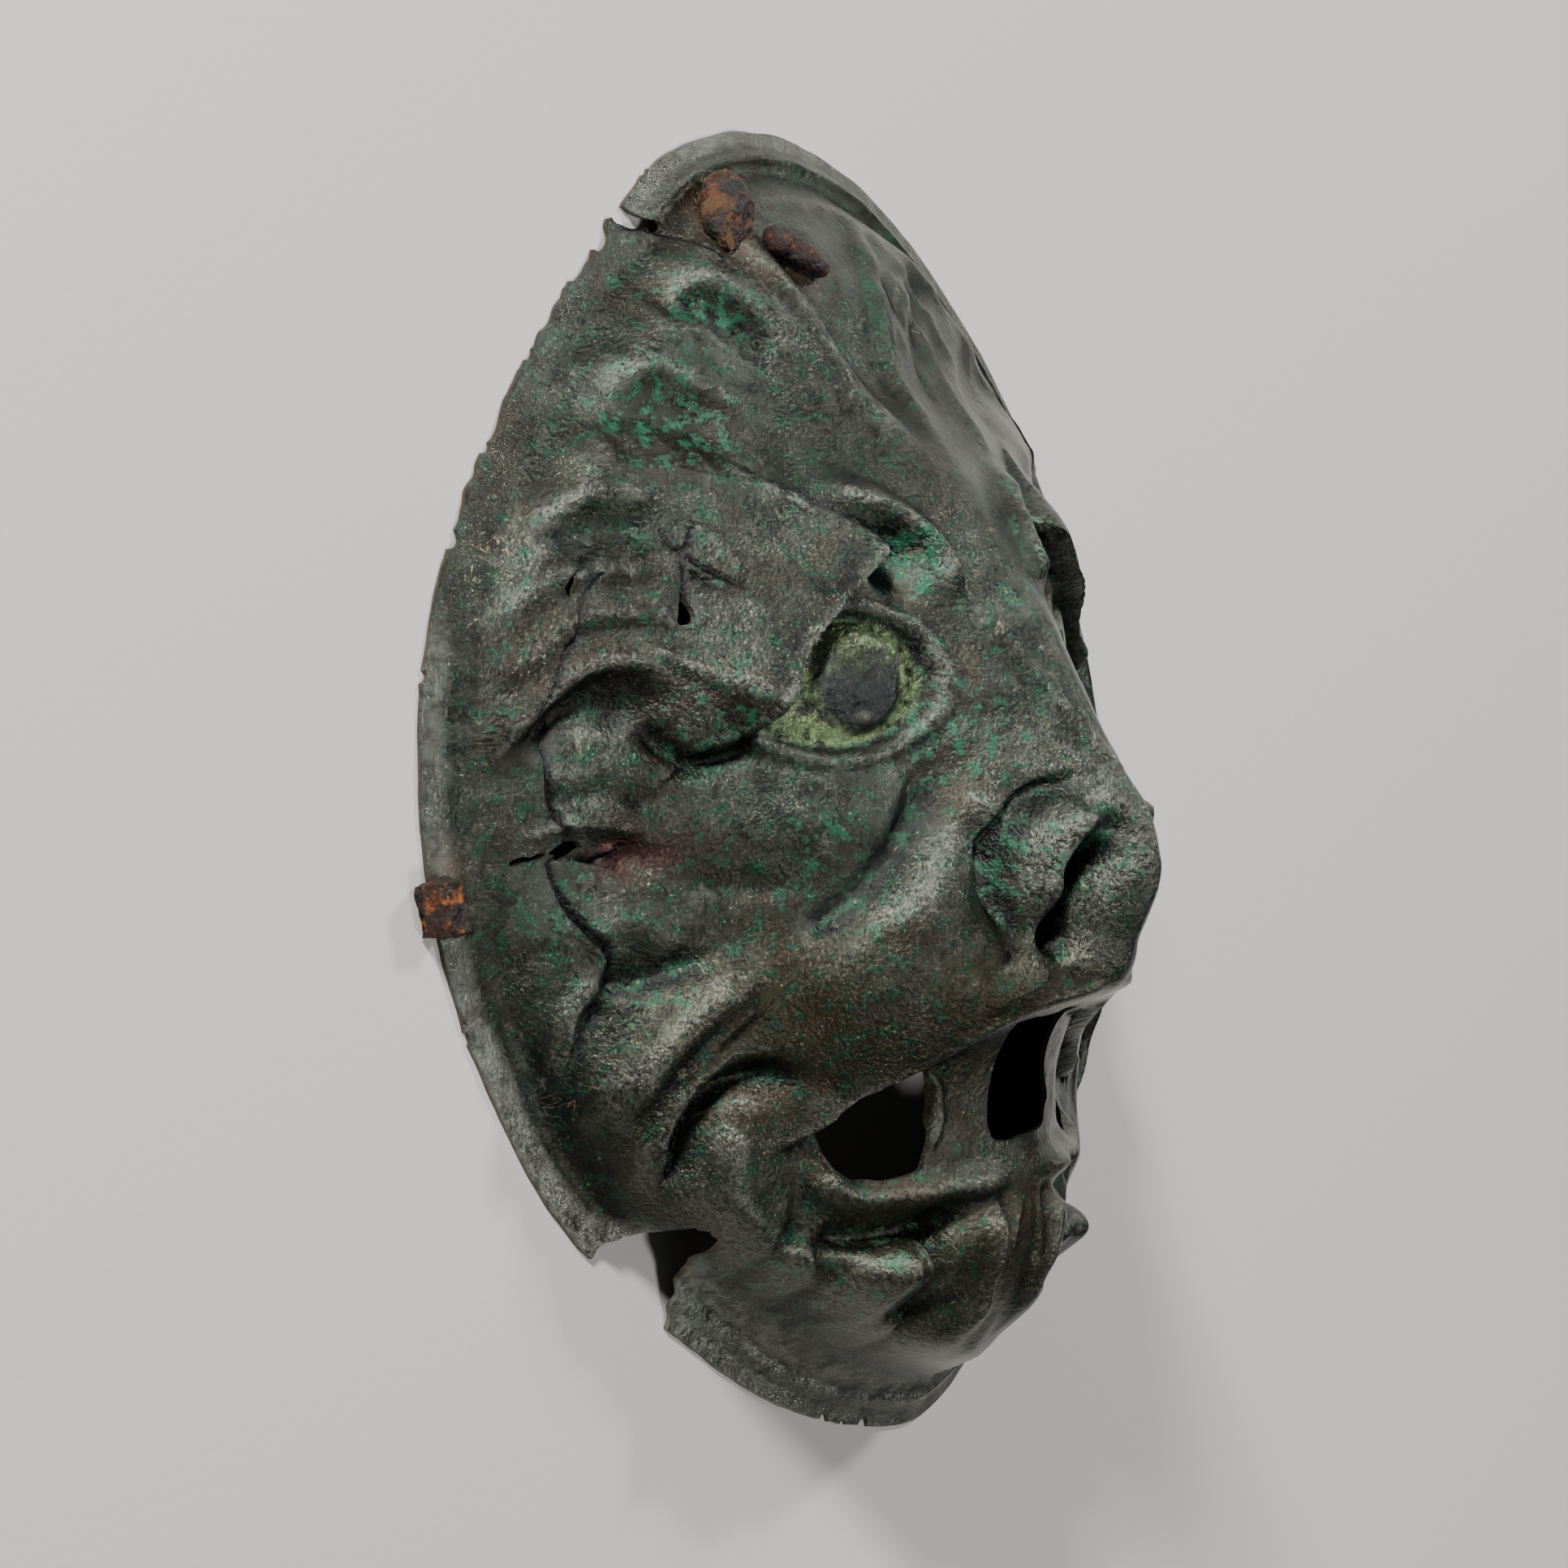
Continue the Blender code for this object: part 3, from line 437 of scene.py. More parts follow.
def smooth_way(points, spacing=1.0):
    """Evenly close points on a smooth way through the given ones."""
    points = np.array(points, float)
    knots = np.arange(len(points), dtype=float)
    length = np.hypot(*np.diff(points, axis=0).T).sum()
    t = np.linspace(0, len(points) - 1, max(int(length / spacing), 4) + 1)
    return np.stack([hermite(t, knots, c, np.gradient(c)) for c in points.T], axis=1)


def along(x, y, points):
    """Distance from a way, over 0 on its left, and the share of the way passed."""
    way = smooth_way(points)
    tangent = np.gradient(way, axis=0)
    spacing = np.hypot(*tangent.T)
    tangent = tangent / spacing[:, None]
    off = np.stack([x, y], axis=-1)[:, None, :] - way[None]
    nearest = np.argmin((off ** 2).sum(-1), axis=1)
    gap = off[np.arange(len(x)), nearest]
    direction = tangent[nearest]
    ahead = (gap * direction).sum(-1)
    aside = direction[:, 0] * gap[:, 1] - direction[:, 1] * gap[:, 0]
    past = np.maximum(np.abs(ahead) - spacing[nearest], 0.0)
    share = np.clip((nearest + ahead / spacing[nearest]) / (len(way) - 1), 0, 1)
    return np.where(aside < 0, -1.0, 1.0) * np.hypot(aside, past), share


def near_box(x, y, points, reach):
    """Which places lie within reach of the box round some points."""
    box = np.array(points, float)
    near = (x > box[:, 0].min() - reach) & (x < box[:, 0].max() + reach)
    return near & (y > box[:, 1].min() - reach) & (y < box[:, 1].max() + reach)


def way_mark(x, y, left, right, points, least=0.15):
    """Strength of a stroke at each place: 1 on its way, falling off aside and to its ends."""
    mark = np.zeros(len(x))
    near = near_box(x, y, points, 2.4 * max(left, right) + 3.0)
    if near.any():
        distance, share = along(x[near], y[near], points)
        width = np.where(distance > 0, left, right)
        taper = least + (1 - least) * smoothstep(np.minimum(share, 1 - share) / 0.25)
        mark[near] = taper * np.exp(-(distance / width) ** 2)
    return mark


def add_swelling(z, x, y, middle, half, height, turn):
    c, s = cos(radians(turn)), sin(radians(turn))
    u = ((x - middle[0]) * c + (y - middle[1]) * s) / half[0]
    v = ((y - middle[1]) * c - (x - middle[0]) * s) / half[1]
    z += height * np.exp(-(u * u + v * v) ** 1.15)


def outline_gap(x, y, outline):
    """Distance from a closed outline, under 0 inside it."""
    start = smooth_way(list(outline) + [outline[0]], 1.6)[:-1]
    gap = np.full(len(x), FAR_OFF)
    near = near_box(x, y, start, 8.0)
    px, py = x[near][:, None], y[near][:, None]
    side = np.roll(start, -1, axis=0) - start
    t = (px - start[:, 0]) * side[:, 0] + (py - start[:, 1]) * side[:, 1]
    t = np.clip(t / (side ** 2).sum(-1), 0, 1)
    distance = np.hypot(px - start[:, 0] - t * side[:, 0], py - start[:, 1] - t * side[:, 1])
    rise = np.where(np.abs(side[:, 1]) < 1e-9, 1e-9, side[:, 1])
    level = (start[:, 1] > py) != (start[:, 1] + side[:, 1] > py)
    crossed = level & (px < start[:, 0] + side[:, 0] * (py - start[:, 1]) / rise)
    inside = crossed.sum(axis=1) % 2 == 1
    gap[near] = np.where(inside, -1.0, 1.0) * distance.min(axis=1)
    return gap


def plan_noise(x, y, grain, seed):
    """Smooth seeded noise over the plan, from -1 to 1, with one swell to a grain."""
    table = np.random.default_rng(seed).uniform(-1.0, 1.0, (NOISE_CELLS, NOISE_CELLS))
    u, v = x / grain + NOISE_SHIFT, y / grain + NOISE_SHIFT
    i, j = np.floor(u).astype(int), np.floor(v).astype(int)
    s, t = smoothstep(u - i), smoothstep(v - j)
    left, right = i % NOISE_CELLS, (i + 1) % NOISE_CELLS
    rows = [table[left, row] * (1 - s) + table[right, row] * s
            for row in (j % NOISE_CELLS, (j + 1) % NOISE_CELLS)]
    return rows[0] * (1 - t) + rows[1] * t


def noise_sum(x, y, layers):
    """Noises of a few grains, each with its share and seed, added up."""
    return sum(share * plan_noise(x, y, grain, seed) for grain, share, seed in layers)


def head_form(x, y):
    """The dome of the head."""
    oval = np.sqrt(np.clip(1 - (np.abs(y) / HEAD_HALF_HEIGHT) ** 2.6, 0, 1))
    half_width = HEAD_HALF_WIDTH * oval - HEAD_MARGIN
    t = np.clip(np.abs(x) / np.maximum(half_width, HEAD_LEAST), 0, 1)
    return profile(y, HEAD) * (1 - t ** 1.55) ** 1.25


def nose_form(x, y):
    t = np.clip((np.sqrt(x * x + 9.0) - 3.0) / profile(y, NOSE_WIDTH), 0, 1)
    return profile(y, NOSE) * (1 - t) ** 1.15


def add_brow(z, x, y):
    """Brow: a broad swell that ends in a sharp edge over the eye."""
    distance, share = along(x, y, BROW_EDGE)
    taper = 0.2 + 0.8 * smoothstep((1 - share) / 0.25)
    swell = BROW_SWELL * smoothstep(share / 0.2) * taper
    z += swell * np.where(distance > 0, np.exp(-(distance / BROW_REACH) ** 2),
                          1 - smoothstep(-distance / BROW_FALL))


def iris_share(x, y):
    """0 in the middle of the iris and 1 on its edge."""
    return np.hypot((x - IRIS_PLACE[0]) / IRIS_SIZE[0], (y - IRIS_PLACE[1]) / IRIS_SIZE[1])


def add_eye(z, x, y):
    """Eye: a shallow socket, two folds of the lids, the oval iris and its dent."""
    r = np.hypot((x - EYE_PLACE[0]) / 1.05, y - EYE_PLACE[1])
    z -= SOCKET_DEPTH * np.exp(-(r / SOCKET_RADIUS) ** 4)
    gap = outline_gap(x, y, EYE_OPENING)
    z += EYEBALL_RISE * smoothstep(-gap / 5.0)
    below = smoothstep((EYE_PLACE[1] - y) / 4.0)
    for (height, out, width), share in ((UPPER_FOLD, 1.0), (LOWER_FOLD, below)):
        z += height * share * np.exp(-((gap - out) / width) ** 2)
    iris = iris_share(x, y)
    z += IRIS_RISE * smoothstep((1.0 - iris) / 0.24)
    z += IRIS_RISE * np.sqrt(np.clip(1 - iris ** 2, 0, 1))
    pupil = np.hypot((x - PUPIL_PLACE[0]) / 1.25, y - PUPIL_PLACE[1])
    z -= PUPIL_DEPTH * smoothstep((PUPIL_RADIUS - pupil) / 1.6)


def add_lip_step(z, x, y):
    """The sheet drops back below the edge of the upper lip."""
    drop = smoothstep((profile(x, LIP_EDGE) - y) / 1.8)
    z -= LIP_DROP * drop * np.exp(-((y + 62) / 22.0) ** 4) * smoothstep((58 - x) / 14)


def add_punch_marks(z, x, y):
    """Short upright marks of the punch, side by side below the locks."""
    for count, way in PUNCH_ROWS:
        places = smooth_way(way)
        for index in np.linspace(0, len(places) - 1, count).astype(int):
            add_swelling(z, x, y, places[index], *PUNCH_MARK)


def carving(x, y):
    """Everything on the dome but the rim."""
    half = np.sqrt(x * x + 1.0)
    z = head_form(x, y) + nose_form(half, y)
    add_brow(z, half, y)
    add_eye(z, half, y)
    for swelling in SWELLINGS:
        add_swelling(z, half, y, *swelling)
    add_lip_step(z, half, y)
    for swelling in SIDE_SWELLINGS:
        add_swelling(z, x, y, *swelling)
    for height, left, right, way in CHEEK + NOSE_AND_MUZZLE + CHIN:
        z += height * way_mark(half, y, left, right, way)
    fainter = 1.0 - FAR_FAINTNESS * smoothstep(x / 12.0)
    for height, left, right, way in FOREHEAD + LOCKS:
        z += height * fainter * way_mark(half, y, left, right, way)
    for height, left, right, way in ONE_SIDE:
        z += height * way_mark(x, y, left, right, way)
    add_punch_marks(z, x, y)
    return z


def relief(x, y):
    """Height of the sheet's front over the floor, before the hammer marks."""
    depth = rim_depth(x, y)
    return bead(x, y, depth) + smoothstep((depth - 6.0) / 9.0) * carving(x, y)


def breaks(x, y, ragged):
    """Distance from the nearest opening or break, under 0 inside it."""
    gap = np.full(len(x), FAR_OFF)
    grain, share, seed = GAP_WANDER
    wander = share * ragged * plan_noise(x, y, grain, seed)
    for outline in (NEAR_GAP, FAR_GAP, MIDDLE_GAP):
        gap = np.minimum(gap, outline_gap(x, y, outline) + wander)
    tears = ragged * noise_sum(x, y, TEAR_WANDER)
    for outline, share in TORN_OUTLINES:
        gap = np.minimum(gap, outline_gap(x, y, outline) + share * tears)
    for place, radius in RIM_NICKS:
        off = np.hypot(x - place[0], y - place[1])
        gap = np.minimum(gap, off - radius + NICK_SHARE * tears)
    return gap


def crack_mark(x, y, spread=1.0):
    """1 in the middle of a crack, 0 away from all of them."""
    mark = np.zeros(len(x))
    for width, way in CRACKS:
        mark = np.maximum(mark, way_mark(x, y, spread * width, spread * width, way, 0.5))
    return mark


def square_to_plan(u, v):
    """Square grid to plan: each square ring becomes a ring of the outline's form."""
    reach = np.maximum(np.abs(u), np.abs(v))
    safe = np.where(reach < 1e-9, 1.0, reach)
    flat = np.abs(u) >= np.abs(v)
    su = np.where(flat, np.where(np.abs(u) < 1e-9, 1.0, u), 1.0)
    sv = np.where(flat, 1.0, np.where(np.abs(v) < 1e-9, 1.0, v))
    angle = np.where(flat, pi / 4 * v / su + np.where(u > 0, 0.0, pi),
                     pi / 2 - pi / 4 * u / sv + np.where(v > 0, 0.0, pi))
    start, end = RAGGED_ENDS
    ragged = 0.25 + 0.8 * smoothstep((angle - start) / 0.1) * smoothstep((end - angle) / 0.15)
    bites = noise_sum(BITE_CIRCLE * np.cos(angle), BITE_CIRCLE * np.sin(angle), RIM_BITES)
    edge = rim_radius(angle) + ragged * (bites - 0.3)
    face_share = 1.0 - RIM_RINGS / GRID_RINGS
    within = safe < face_share
    radius = np.where(within, (edge - RIM_ZONE) * safe / face_share,
                      edge - RIM_ZONE * (1 - safe) / (1 - face_share))
    radius = np.where(reach < 1e-9, 0.0, radius)
    return radius * np.cos(angle), radius * np.sin(angle)


def slopes_of(height, x, y, reach):
    """How steeply a height over the plan rises along x and along y."""
    return ((height(x + reach, y) - height(x - reach, y)) / (2 * reach),
            (height(x, y + reach) - height(x, y - reach)) / (2 * reach))


def plan_of(bm):
    """The plan places of a bmesh's vertices, as two arrays."""
    places = np.array([vert.co[:2] for vert in bm.verts])
    return places[:, 0], places[:, 1]


def refine(bm, faces):
    """Split faces in four where the relief needs more points."""
    edges = {edge for face in faces for edge in face.edges}
    bmesh.ops.subdivide_edges(bm, edges=list(edges), cuts=1, use_grid_fill=True)
    bm.verts.index_update()
    bm.faces.ensure_lookup_table()


def pick_faces(bm, indices):
    """The faces of a bmesh with these indices."""
    bm.faces.ensure_lookup_table()
    return [bm.faces[int(index)] for index in indices]


def face_middles(bm):
    middles = np.array([face.calc_center_median()[:2] for face in bm.faces])
    return middles[:, 0], middles[:, 1]


def sharpest(bm, share):
    """Faces where the relief bends most, those that the photograph shows best first."""
    x, y = plan_of(bm)
    heights = relief(x, y)
    mx, my = face_middles(bm)
    middle = relief(mx, my)
    corners = np.array([np.mean([heights[v.index] for v in face.verts]) for face in bm.faces])
    bend = np.abs(middle - corners)
    bend *= np.where(mx < NEAR_HALF, NEAR_FAVOUR, 1.0) * smoothstep(rim_depth(mx, my) / 8.0)
    return pick_faces(bm, np.argsort(-bend)[:int(share * len(bend))])


def near_breaks(bm, reach, ragged):
    """Faces on the edges of the openings and along the cracks."""
    mx, my = face_middles(bm)
    close = (np.abs(breaks(mx, my, ragged)) < reach) | (crack_mark(mx, my) > CRACK_EDGE)
    return pick_faces(bm, np.flatnonzero(close))


def along_cracks(bm):
    """Faces on the cracks, which need points closer than the relief does."""
    mx, my = face_middles(bm)
    return pick_faces(bm, np.flatnonzero(crack_mark(mx, my, FINE_SPREAD) > FINE_EDGE))


def open_breaks(bm, ragged):
    """Take out the faces in the openings and draw the edges that are left onto the breaks."""
    mx, my = face_middles(bm)
    gone = pick_faces(bm, np.flatnonzero(breaks(mx, my, ragged) < 0))
    bmesh.ops.delete(bm, geom=gone, context="FACES")
    loose = [vert for vert in bm.verts if len(vert.link_faces) == 0]
    bmesh.ops.delete(bm, geom=loose, context="VERTS")
    for _ in range(3):
        border = [vert for vert in bm.verts if vert.is_boundary]
        x = np.array([vert.co.x for vert in border])
        y = np.array([vert.co.y for vert in border])
        gap = breaks(x, y, ragged)
        across, upward = slopes_of(lambda u, v: breaks(u, v, ragged), x, y, BREAK_STEP)
        steep = np.maximum(across ** 2 + upward ** 2, 0.35)
        for vert, g, a, b, s in zip(border, gap, across, upward, steep):
            if abs(g) < 1.1:
                vert.co.x -= 0.8 * g * a / s
                vert.co.y -= 0.8 * g * b / s
    bm.verts.index_update()


def sheet_plan(ragged):
    """Flat mesh of the mask's plan, fine where the relief is sharp, with its openings out."""
    bm = bmesh.new()
    bmesh.ops.create_grid(bm, x_segments=2 * GRID_RINGS, y_segments=2 * GRID_RINGS, size=1.0)
    u, v = plan_of(bm)
    x, y = square_to_plan(u, v)
    for vert, px, py in zip(bm.verts, x, y):
        vert.co.x, vert.co.y = px, py
    refine(bm, sharpest(bm, SHARP_SHARE))
    refine(bm, near_breaks(bm, BREAK_REACH, ragged))
    refine(bm, along_cracks(bm))
    open_breaks(bm, ragged)
    many_sided = [face for face in bm.faces if len(face.verts) > 4]
    bmesh.ops.triangulate(bm, faces=many_sided)
    bm.normal_update()
    down = [face for face in bm.faces if face.normal.z < 0]
    bmesh.ops.reverse_faces(bm, faces=down)
    return bm


def hammered_height(x, y, sizes):
    """Front of the sheet in steps: the relief with hammer marks, dents, cracks and crust."""
    inner = smoothstep((rim_depth(x, y) - 1.0) / 6.0)
    marks = noise_sum(x, y, HAMMER_MARKS)
    z = relief(x, y) + (0.25 + 0.75 * inner) * sizes.hammer_depth / STEP * marks
    grain, height, seed = WARP
    z += height * inner * plan_noise(x, y, grain, seed)
    height, spread = CRACK_LIP
    z += height * crack_mark(x, y, spread) - sizes.crack_depth / STEP * crack_mark(x, y)
    grain, height, seed = RUST_CRUMBS
    z += height * spots(x, y, RUST_SPOTS) * np.maximum(plan_noise(x, y, grain, seed), -0.2)
    return z


def spots(x, y, table):
    """Strength of the strongest of some round spots at each place."""
    strongest = np.zeros(len(x))
    for place, reach, strength in table:
        distance = np.hypot(x - place[0], y - place[1]) / reach
        strongest = np.maximum(strongest, strength * np.exp(-distance ** 2))
    return strongest


def bend_of(x, y, reach):
    """How far the relief lies below its surroundings: under 0 on a crest."""
    around = (relief(x + reach, y) + relief(x - reach, y) + relief(x, y + reach)
              + relief(x, y - reach)) / 4
    return around - relief(x, y)


def sheet_looks(x, y):
    """Where the sheet is hollow, raised, cracked, green, red and rusty: a value for each."""
    curve = bend_of(x, y, NARROW_BEND)
    deep = np.maximum(curve, bend_of(x, y, WIDE_BEND) / WIDE_BEND_SCALE)
    half = np.sqrt(x * x + 1.0)
    eye_gap = outline_gap(half, y, EYE_OPENING)
    iris = iris_share(half, y)
    ring = smoothstep((iris - 0.9) / 0.16)
    ring = smoothstep((-eye_gap - 0.2) / 1.2) * np.maximum(ring, 0.7 * smoothstep((y - 20) / 8))
    green = np.zeros(len(x))
    for left, right, way in GREEN_STREAKS:
        green = np.maximum(green, way_mark(x, y, left, right, way, 0.3))
    depth = rim_depth(x, y)
    inner = smoothstep((depth - 6.0) / 6.0)
    angle = np.degrees(np.arctan2(y, x)) % 360
    bare = (angle > WORN_RIM[0]) * (angle < WORN_RIM[1])
    # Pale rim: dust, and painted light where the rim is lit; less where it is worn bare.
    lit = 0.5 + 0.5 * smoothstep((angle - PALE_RIM_START) / 30.0) - 0.4 * bare
    lower_lip = (smoothstep((angle - LOWER_LIP[0]) / 8)
                 * smoothstep((LOWER_LIP[1] - angle) / 10))
    flange = smoothstep((6.0 + 5.0 * lower_lip - depth) / 3.0) * lit
    return {
        # Hollow: darkens the hollows as painted shade, and places malachite there.
        "hollow": np.clip(deep, 0, 1) * (0.3 + 0.7 * inner),
        # Crest: paler skin on the high places, partly wear and partly painted highlight.
        "crest": np.clip(-curve / 0.8, 0, 1) * inner,
        "rim_dust_and_light": flange,
        # Crack: darkens the cracks as painted shade.
        "crack": np.clip(1.5 * crack_mark(x, y), 0, 1),
        "eye_ring": ring,
        "iris": smoothstep((1.0 - iris) / 0.22) * (0.25 + 0.75 * smoothstep((27.0 - y) / 9.0)),
        "copper_red": spots(x, y, RED_SPOTS),
        "green": green,
        "green_spots": spots(x, y, GREEN_SPOTS),
        "olive": spots(x, y, OLIVE_SPOTS),
        "rust": spots(x, y, RUST_SPOTS),
    }


def new_piece(name, bm, sharp=50.0):
    """Make an object of a bmesh, smooth with sharp folds, at the origin."""
    mesh = bpy.data.meshes.new(name)
    bm.to_mesh(mesh)
    bm.free()
    mesh.shade_smooth()
    mesh.set_sharp_from_angle(angle=radians(sharp))
    obj = bpy.data.objects.new(name, mesh)
    bpy.context.scene.collection.objects.link(obj)
    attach(obj, "root")
    return obj


def set_values(mesh, name, values):
    attribute = mesh.attributes.new(name, "FLOAT", "POINT")
    attribute.data.foreach_set("value", np.asarray(values, np.float32))


def part_place(x, y):
    """From steps on the drawing to metres in the frame."""
    angle = np.linspace(0, 2 * pi, 1441)
    radius = rim_radius(angle)
    middle_x = (np.max(radius * np.cos(angle)) + np.min(radius * np.cos(angle))) / 2
    middle_y = (np.max(radius * np.sin(angle)) + np.min(radius * np.sin(angle))) / 2
    low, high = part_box("bronze_mask")
    return ((x - middle_x) * STEP + (low.x + high.x) / 2,
            (y - middle_y) * STEP + (low.y + high.y) / 2)


def make_sheet(sizes):
    """The mask: front and back of the hammered sheet and the edge between them."""
    ragged = sizes.raggedness / STEP
    bm = sheet_plan(ragged)
    x, y = plan_of(bm)
    front_z = hammered_height(x, y, sizes)
    across, upward = slopes_of(relief, x, y, SLOPE_REACH)
    steep = np.minimum(np.sqrt(1 + across ** 2 + upward ** 2), STEEPEST_WALL)
    flat = rim_depth(x, y) < LIP_WIDTH
    wall = sizes.thickness / STEP * np.where(flat, 1.0, steep)
    looks = sheet_looks(x, y)
    px, py = part_place(x, y)
    layer = bm.verts.layers.int.new("plan_index")
    for index, vert in enumerate(bm.verts):
        vert[layer] = index
    out = bmesh.ops.extrude_face_region(bm, geom=list(bm.faces))
    raised = {item for item in out["geom"] if isinstance(item, bmesh.types.BMVert)}
    back_z = np.maximum(front_z - wall, 0.0)
    which = np.array([vert[layer] for vert in bm.verts])
    inner = np.array([0.0 if vert in raised else 1.0 for vert in bm.verts])
    height = np.where(inner > 0, back_z[which], front_z[which]) * STEP
    for vert, index, z in zip(bm.verts, which, height):
        vert.co = (px[index], py[index], z)
    bmesh.ops.recalc_face_normals(bm, faces=bm.faces)
    obj = new_piece("bronze_sheet", bm)
    for name, values in looks.items():
        set_values(obj.data, name, values[which] * (1 - INNER_FADE * inner))
    set_values(obj.data, "inner_side", inner)
    return obj


def sheet_point(place):
    """Point on the front in metres and the direction square to it, for a place in steps."""
    reach = 4.0
    x = np.array([place[0], place[0] + reach, place[0] - reach, place[0], place[0]])
    y = np.array([place[1], place[1], place[1], place[1] + reach, place[1] - reach])
    z = relief(x, y)
    px, py = part_place(x, y)
    normal = Vector((z[2] - z[1], z[4] - z[3], 2 * reach)).normalized()
    return Vector((px[0], py[0], z[0] * STEP)), normal


def plan_steps(x, y):
    """From metres in the frame back to steps on the drawing."""
    zero_x, zero_y = part_place(np.zeros(1), np.zeros(1))
    return (x - zero_x[0]) / STEP, (y - zero_y[0]) / STEP


def rest_on_sheet(bm, sizes, rim_play=0.0):
    """Lift the vertices that would reach into the sheet, to a fine gap above it."""
    x, y = plan_of(bm)
    u, v = plan_steps(x, y)
    floor = hammered_height(u, v, sizes) * STEP + IRON_GAP
    over = rim_depth(u, v) > -rim_play
    for vert, height, on_sheet in zip(bm.verts, floor, over):
        if on_sheet:
            vert.co.z = max(vert.co.z, height)


def corrode(bm, middle, depth, seed):
    """Blister and pit a form with noise of a few sizes."""
    shift = Vector((seed * 0.73, seed * 0.31, seed * 0.57))
    bm.normal_update()
    moves = []
    for vert in bm.verts:
        place = (vert.co - middle) * 1000.0
        amount = sum(share * noise.noise(place / size + shift) for size, share in BLISTERS)
        moves.append(depth * amount)
    for vert, move in zip(bm.verts, moves):
        vert.co += vert.normal * move


def round_ball(subdivisions):
    """A ball of radius 1, to shape further."""
    bm = bmesh.new()
    bmesh.ops.create_icosphere(bm, subdivisions=subdivisions, radius=1.0)
    return bm


def make_lump(sizes):
    """Rust-swollen nail stump near the forehead rim: a blistered crust with a raised head."""
    place, normal = sheet_point(LUMP_PLACE)
    low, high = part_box("iron_nail_lump")
    half = Vector(LUMP_SIZE) * 0.5
    turn = Vector((0, 0, 1)).rotation_difference(normal) @ Quaternion((0, 0, 1), LUMP_TURN)
    bm = round_ball(6)
    centre = place + normal * LUMP_LIFT * LUMP_SIZE[2]
    for vert in bm.verts:
        n = vert.co.normalized()
        swell = 1.0 + 0.10 * noise.noise(n * 1.6 + Vector((3, 1, 2)))
        local = Vector((n.x * half.x, n.y * half.y, n.z * half.z)) * swell
        vert.co = centre + turn @ local
    corrode(bm, centre, sizes.rust_depth, 1)
    rest_on_sheet(bm, sizes)
    keep_in_box(bm, low, high)
    return new_piece("nail_stump_crust", bm, 80.0)


def keep_in_box(bm, low, high):
    """Hold the crust within a little of the solid that it stands for."""
    for vert in bm.verts:
        for axis in range(3):
            least, most = low[axis] - CRUST_PLAY, high[axis] + CRUST_PLAY
            vert.co[axis] = min(max(vert.co[axis], least), most)


def make_bent_nail(sizes):
    """Nail bent over flat on the forehead: a round head and a tapering, flaking shank."""
    points = [sheet_point(way_point) for way_point in BENT_NAIL_WAY]
    spine = np.array([list(p + n * SHANK_RADIUS * SHANK_LIFT) for p, n in points])
    knots = np.arange(len(spine), dtype=float)
    slopes = [np.gradient(c) for c in spine.T]
    bm = round_ball(6)
    for vert in bm.verts:
        n = vert.co.normalized()
        t = (0.5 + 0.5 * n.z) * (len(spine) - 1)
        at = np.array([float(t)])
        centre = Vector([float(hermite(at, knots, c, s)[0]) for c, s in zip(spine.T, slopes)])
        ahead = np.array([min(float(t) + 0.05, len(spine) - 1.0)])
        behind = np.array([max(float(t) - 0.05, 0.0)])
        tangent = Vector([float((hermite(ahead, knots, c, s) - hermite(behind, knots, c, s))[0])
                          for c, s in zip(spine.T, slopes)]).normalized()
        across = tangent.cross(Vector((0, 0, 1))).normalized()
        up = across.cross(tangent)
        round_off = (1 - abs(n.z) ** 6) ** 0.5
        radius = SHANK_RADIUS * (1.0 - SHANK_TAPER * (0.5 + 0.5 * n.z)) * round_off
        flat = Vector((n.x, n.y)).normalized() if n.xy.length > 1e-6 else Vector((0, 0))
        vert.co = centre + (across * flat.x + up * flat.y) * radius
    corrode(bm, Vector(spine[0]), BENT_RUST * sizes.rust_depth, 2)
    rest_on_sheet(bm, sizes)
    shank = new_piece("nail_shank", bm, 80.0)
    head_place, normal = points[0]
    turn = Vector((0, 0, 1)).rotation_difference(normal)
    bm = round_ball(5)
    centre = head_place + normal * SHANK_RADIUS
    for vert in bm.verts:
        n = vert.co.normalized()
        local = Vector([n[axis] * NAIL_HEAD_SIZE[axis] * 0.5 for axis in range(3)])
        vert.co = centre + turn @ local
    corrode(bm, centre, BENT_RUST * sizes.rust_depth, 3)
    rest_on_sheet(bm, sizes)
    head = new_piece("nail_head", bm, 80.0)
    return shank, head


def make_clench(sizes):
    """Square nail end bent over the rim at the side of the face."""
    radius = float(rim_radius(np.float64(CLENCH_ANGLE)))
    out = Vector((cos(CLENCH_ANGLE), sin(CLENCH_ANGLE), 0.0))
    edge_x, edge_y = part_place(radius * out.x, radius * out.y)
    centre = Vector((float(edge_x), float(edge_y), 0.5 * CLENCH_SIZE[2] + IRON_GAP))
    centre += out * (CLENCH_OVERHANG - 0.5 * CLENCH_SIZE[0])
    bm = bmesh.new()
    bmesh.ops.create_cube(bm, size=1.0)
    bmesh.ops.subdivide_edges(bm, edges=list(bm.edges), cuts=31, use_grid_fill=True)
    turn = Matrix.Rotation(CLENCH_ANGLE, 3, "Z")
    for vert in bm.verts:
        soft = Vector([c * (1.0 - 0.10 * max(abs(o) for o in others) ** 6 * 8)
                       for c, others in zip(vert.co, others_of(vert.co))])
        size = Vector([c * s for c, s in zip(soft, CLENCH_SIZE)])
        vert.co = centre + turn @ size
    corrode(bm, centre, CLENCH_RUST * sizes.rust_depth, 4)
    for vert in bm.verts:
        vert.co.z = max(vert.co.z, IRON_GAP)
    rest_on_sheet(bm, sizes, rim_play=0.7)
    return new_piece("rim_clench", bm, 80.0)


def others_of(place):
    """For each axis, the places on the two other axes."""
    return ((place.y, place.z), (place.x, place.z), (place.x, place.y))


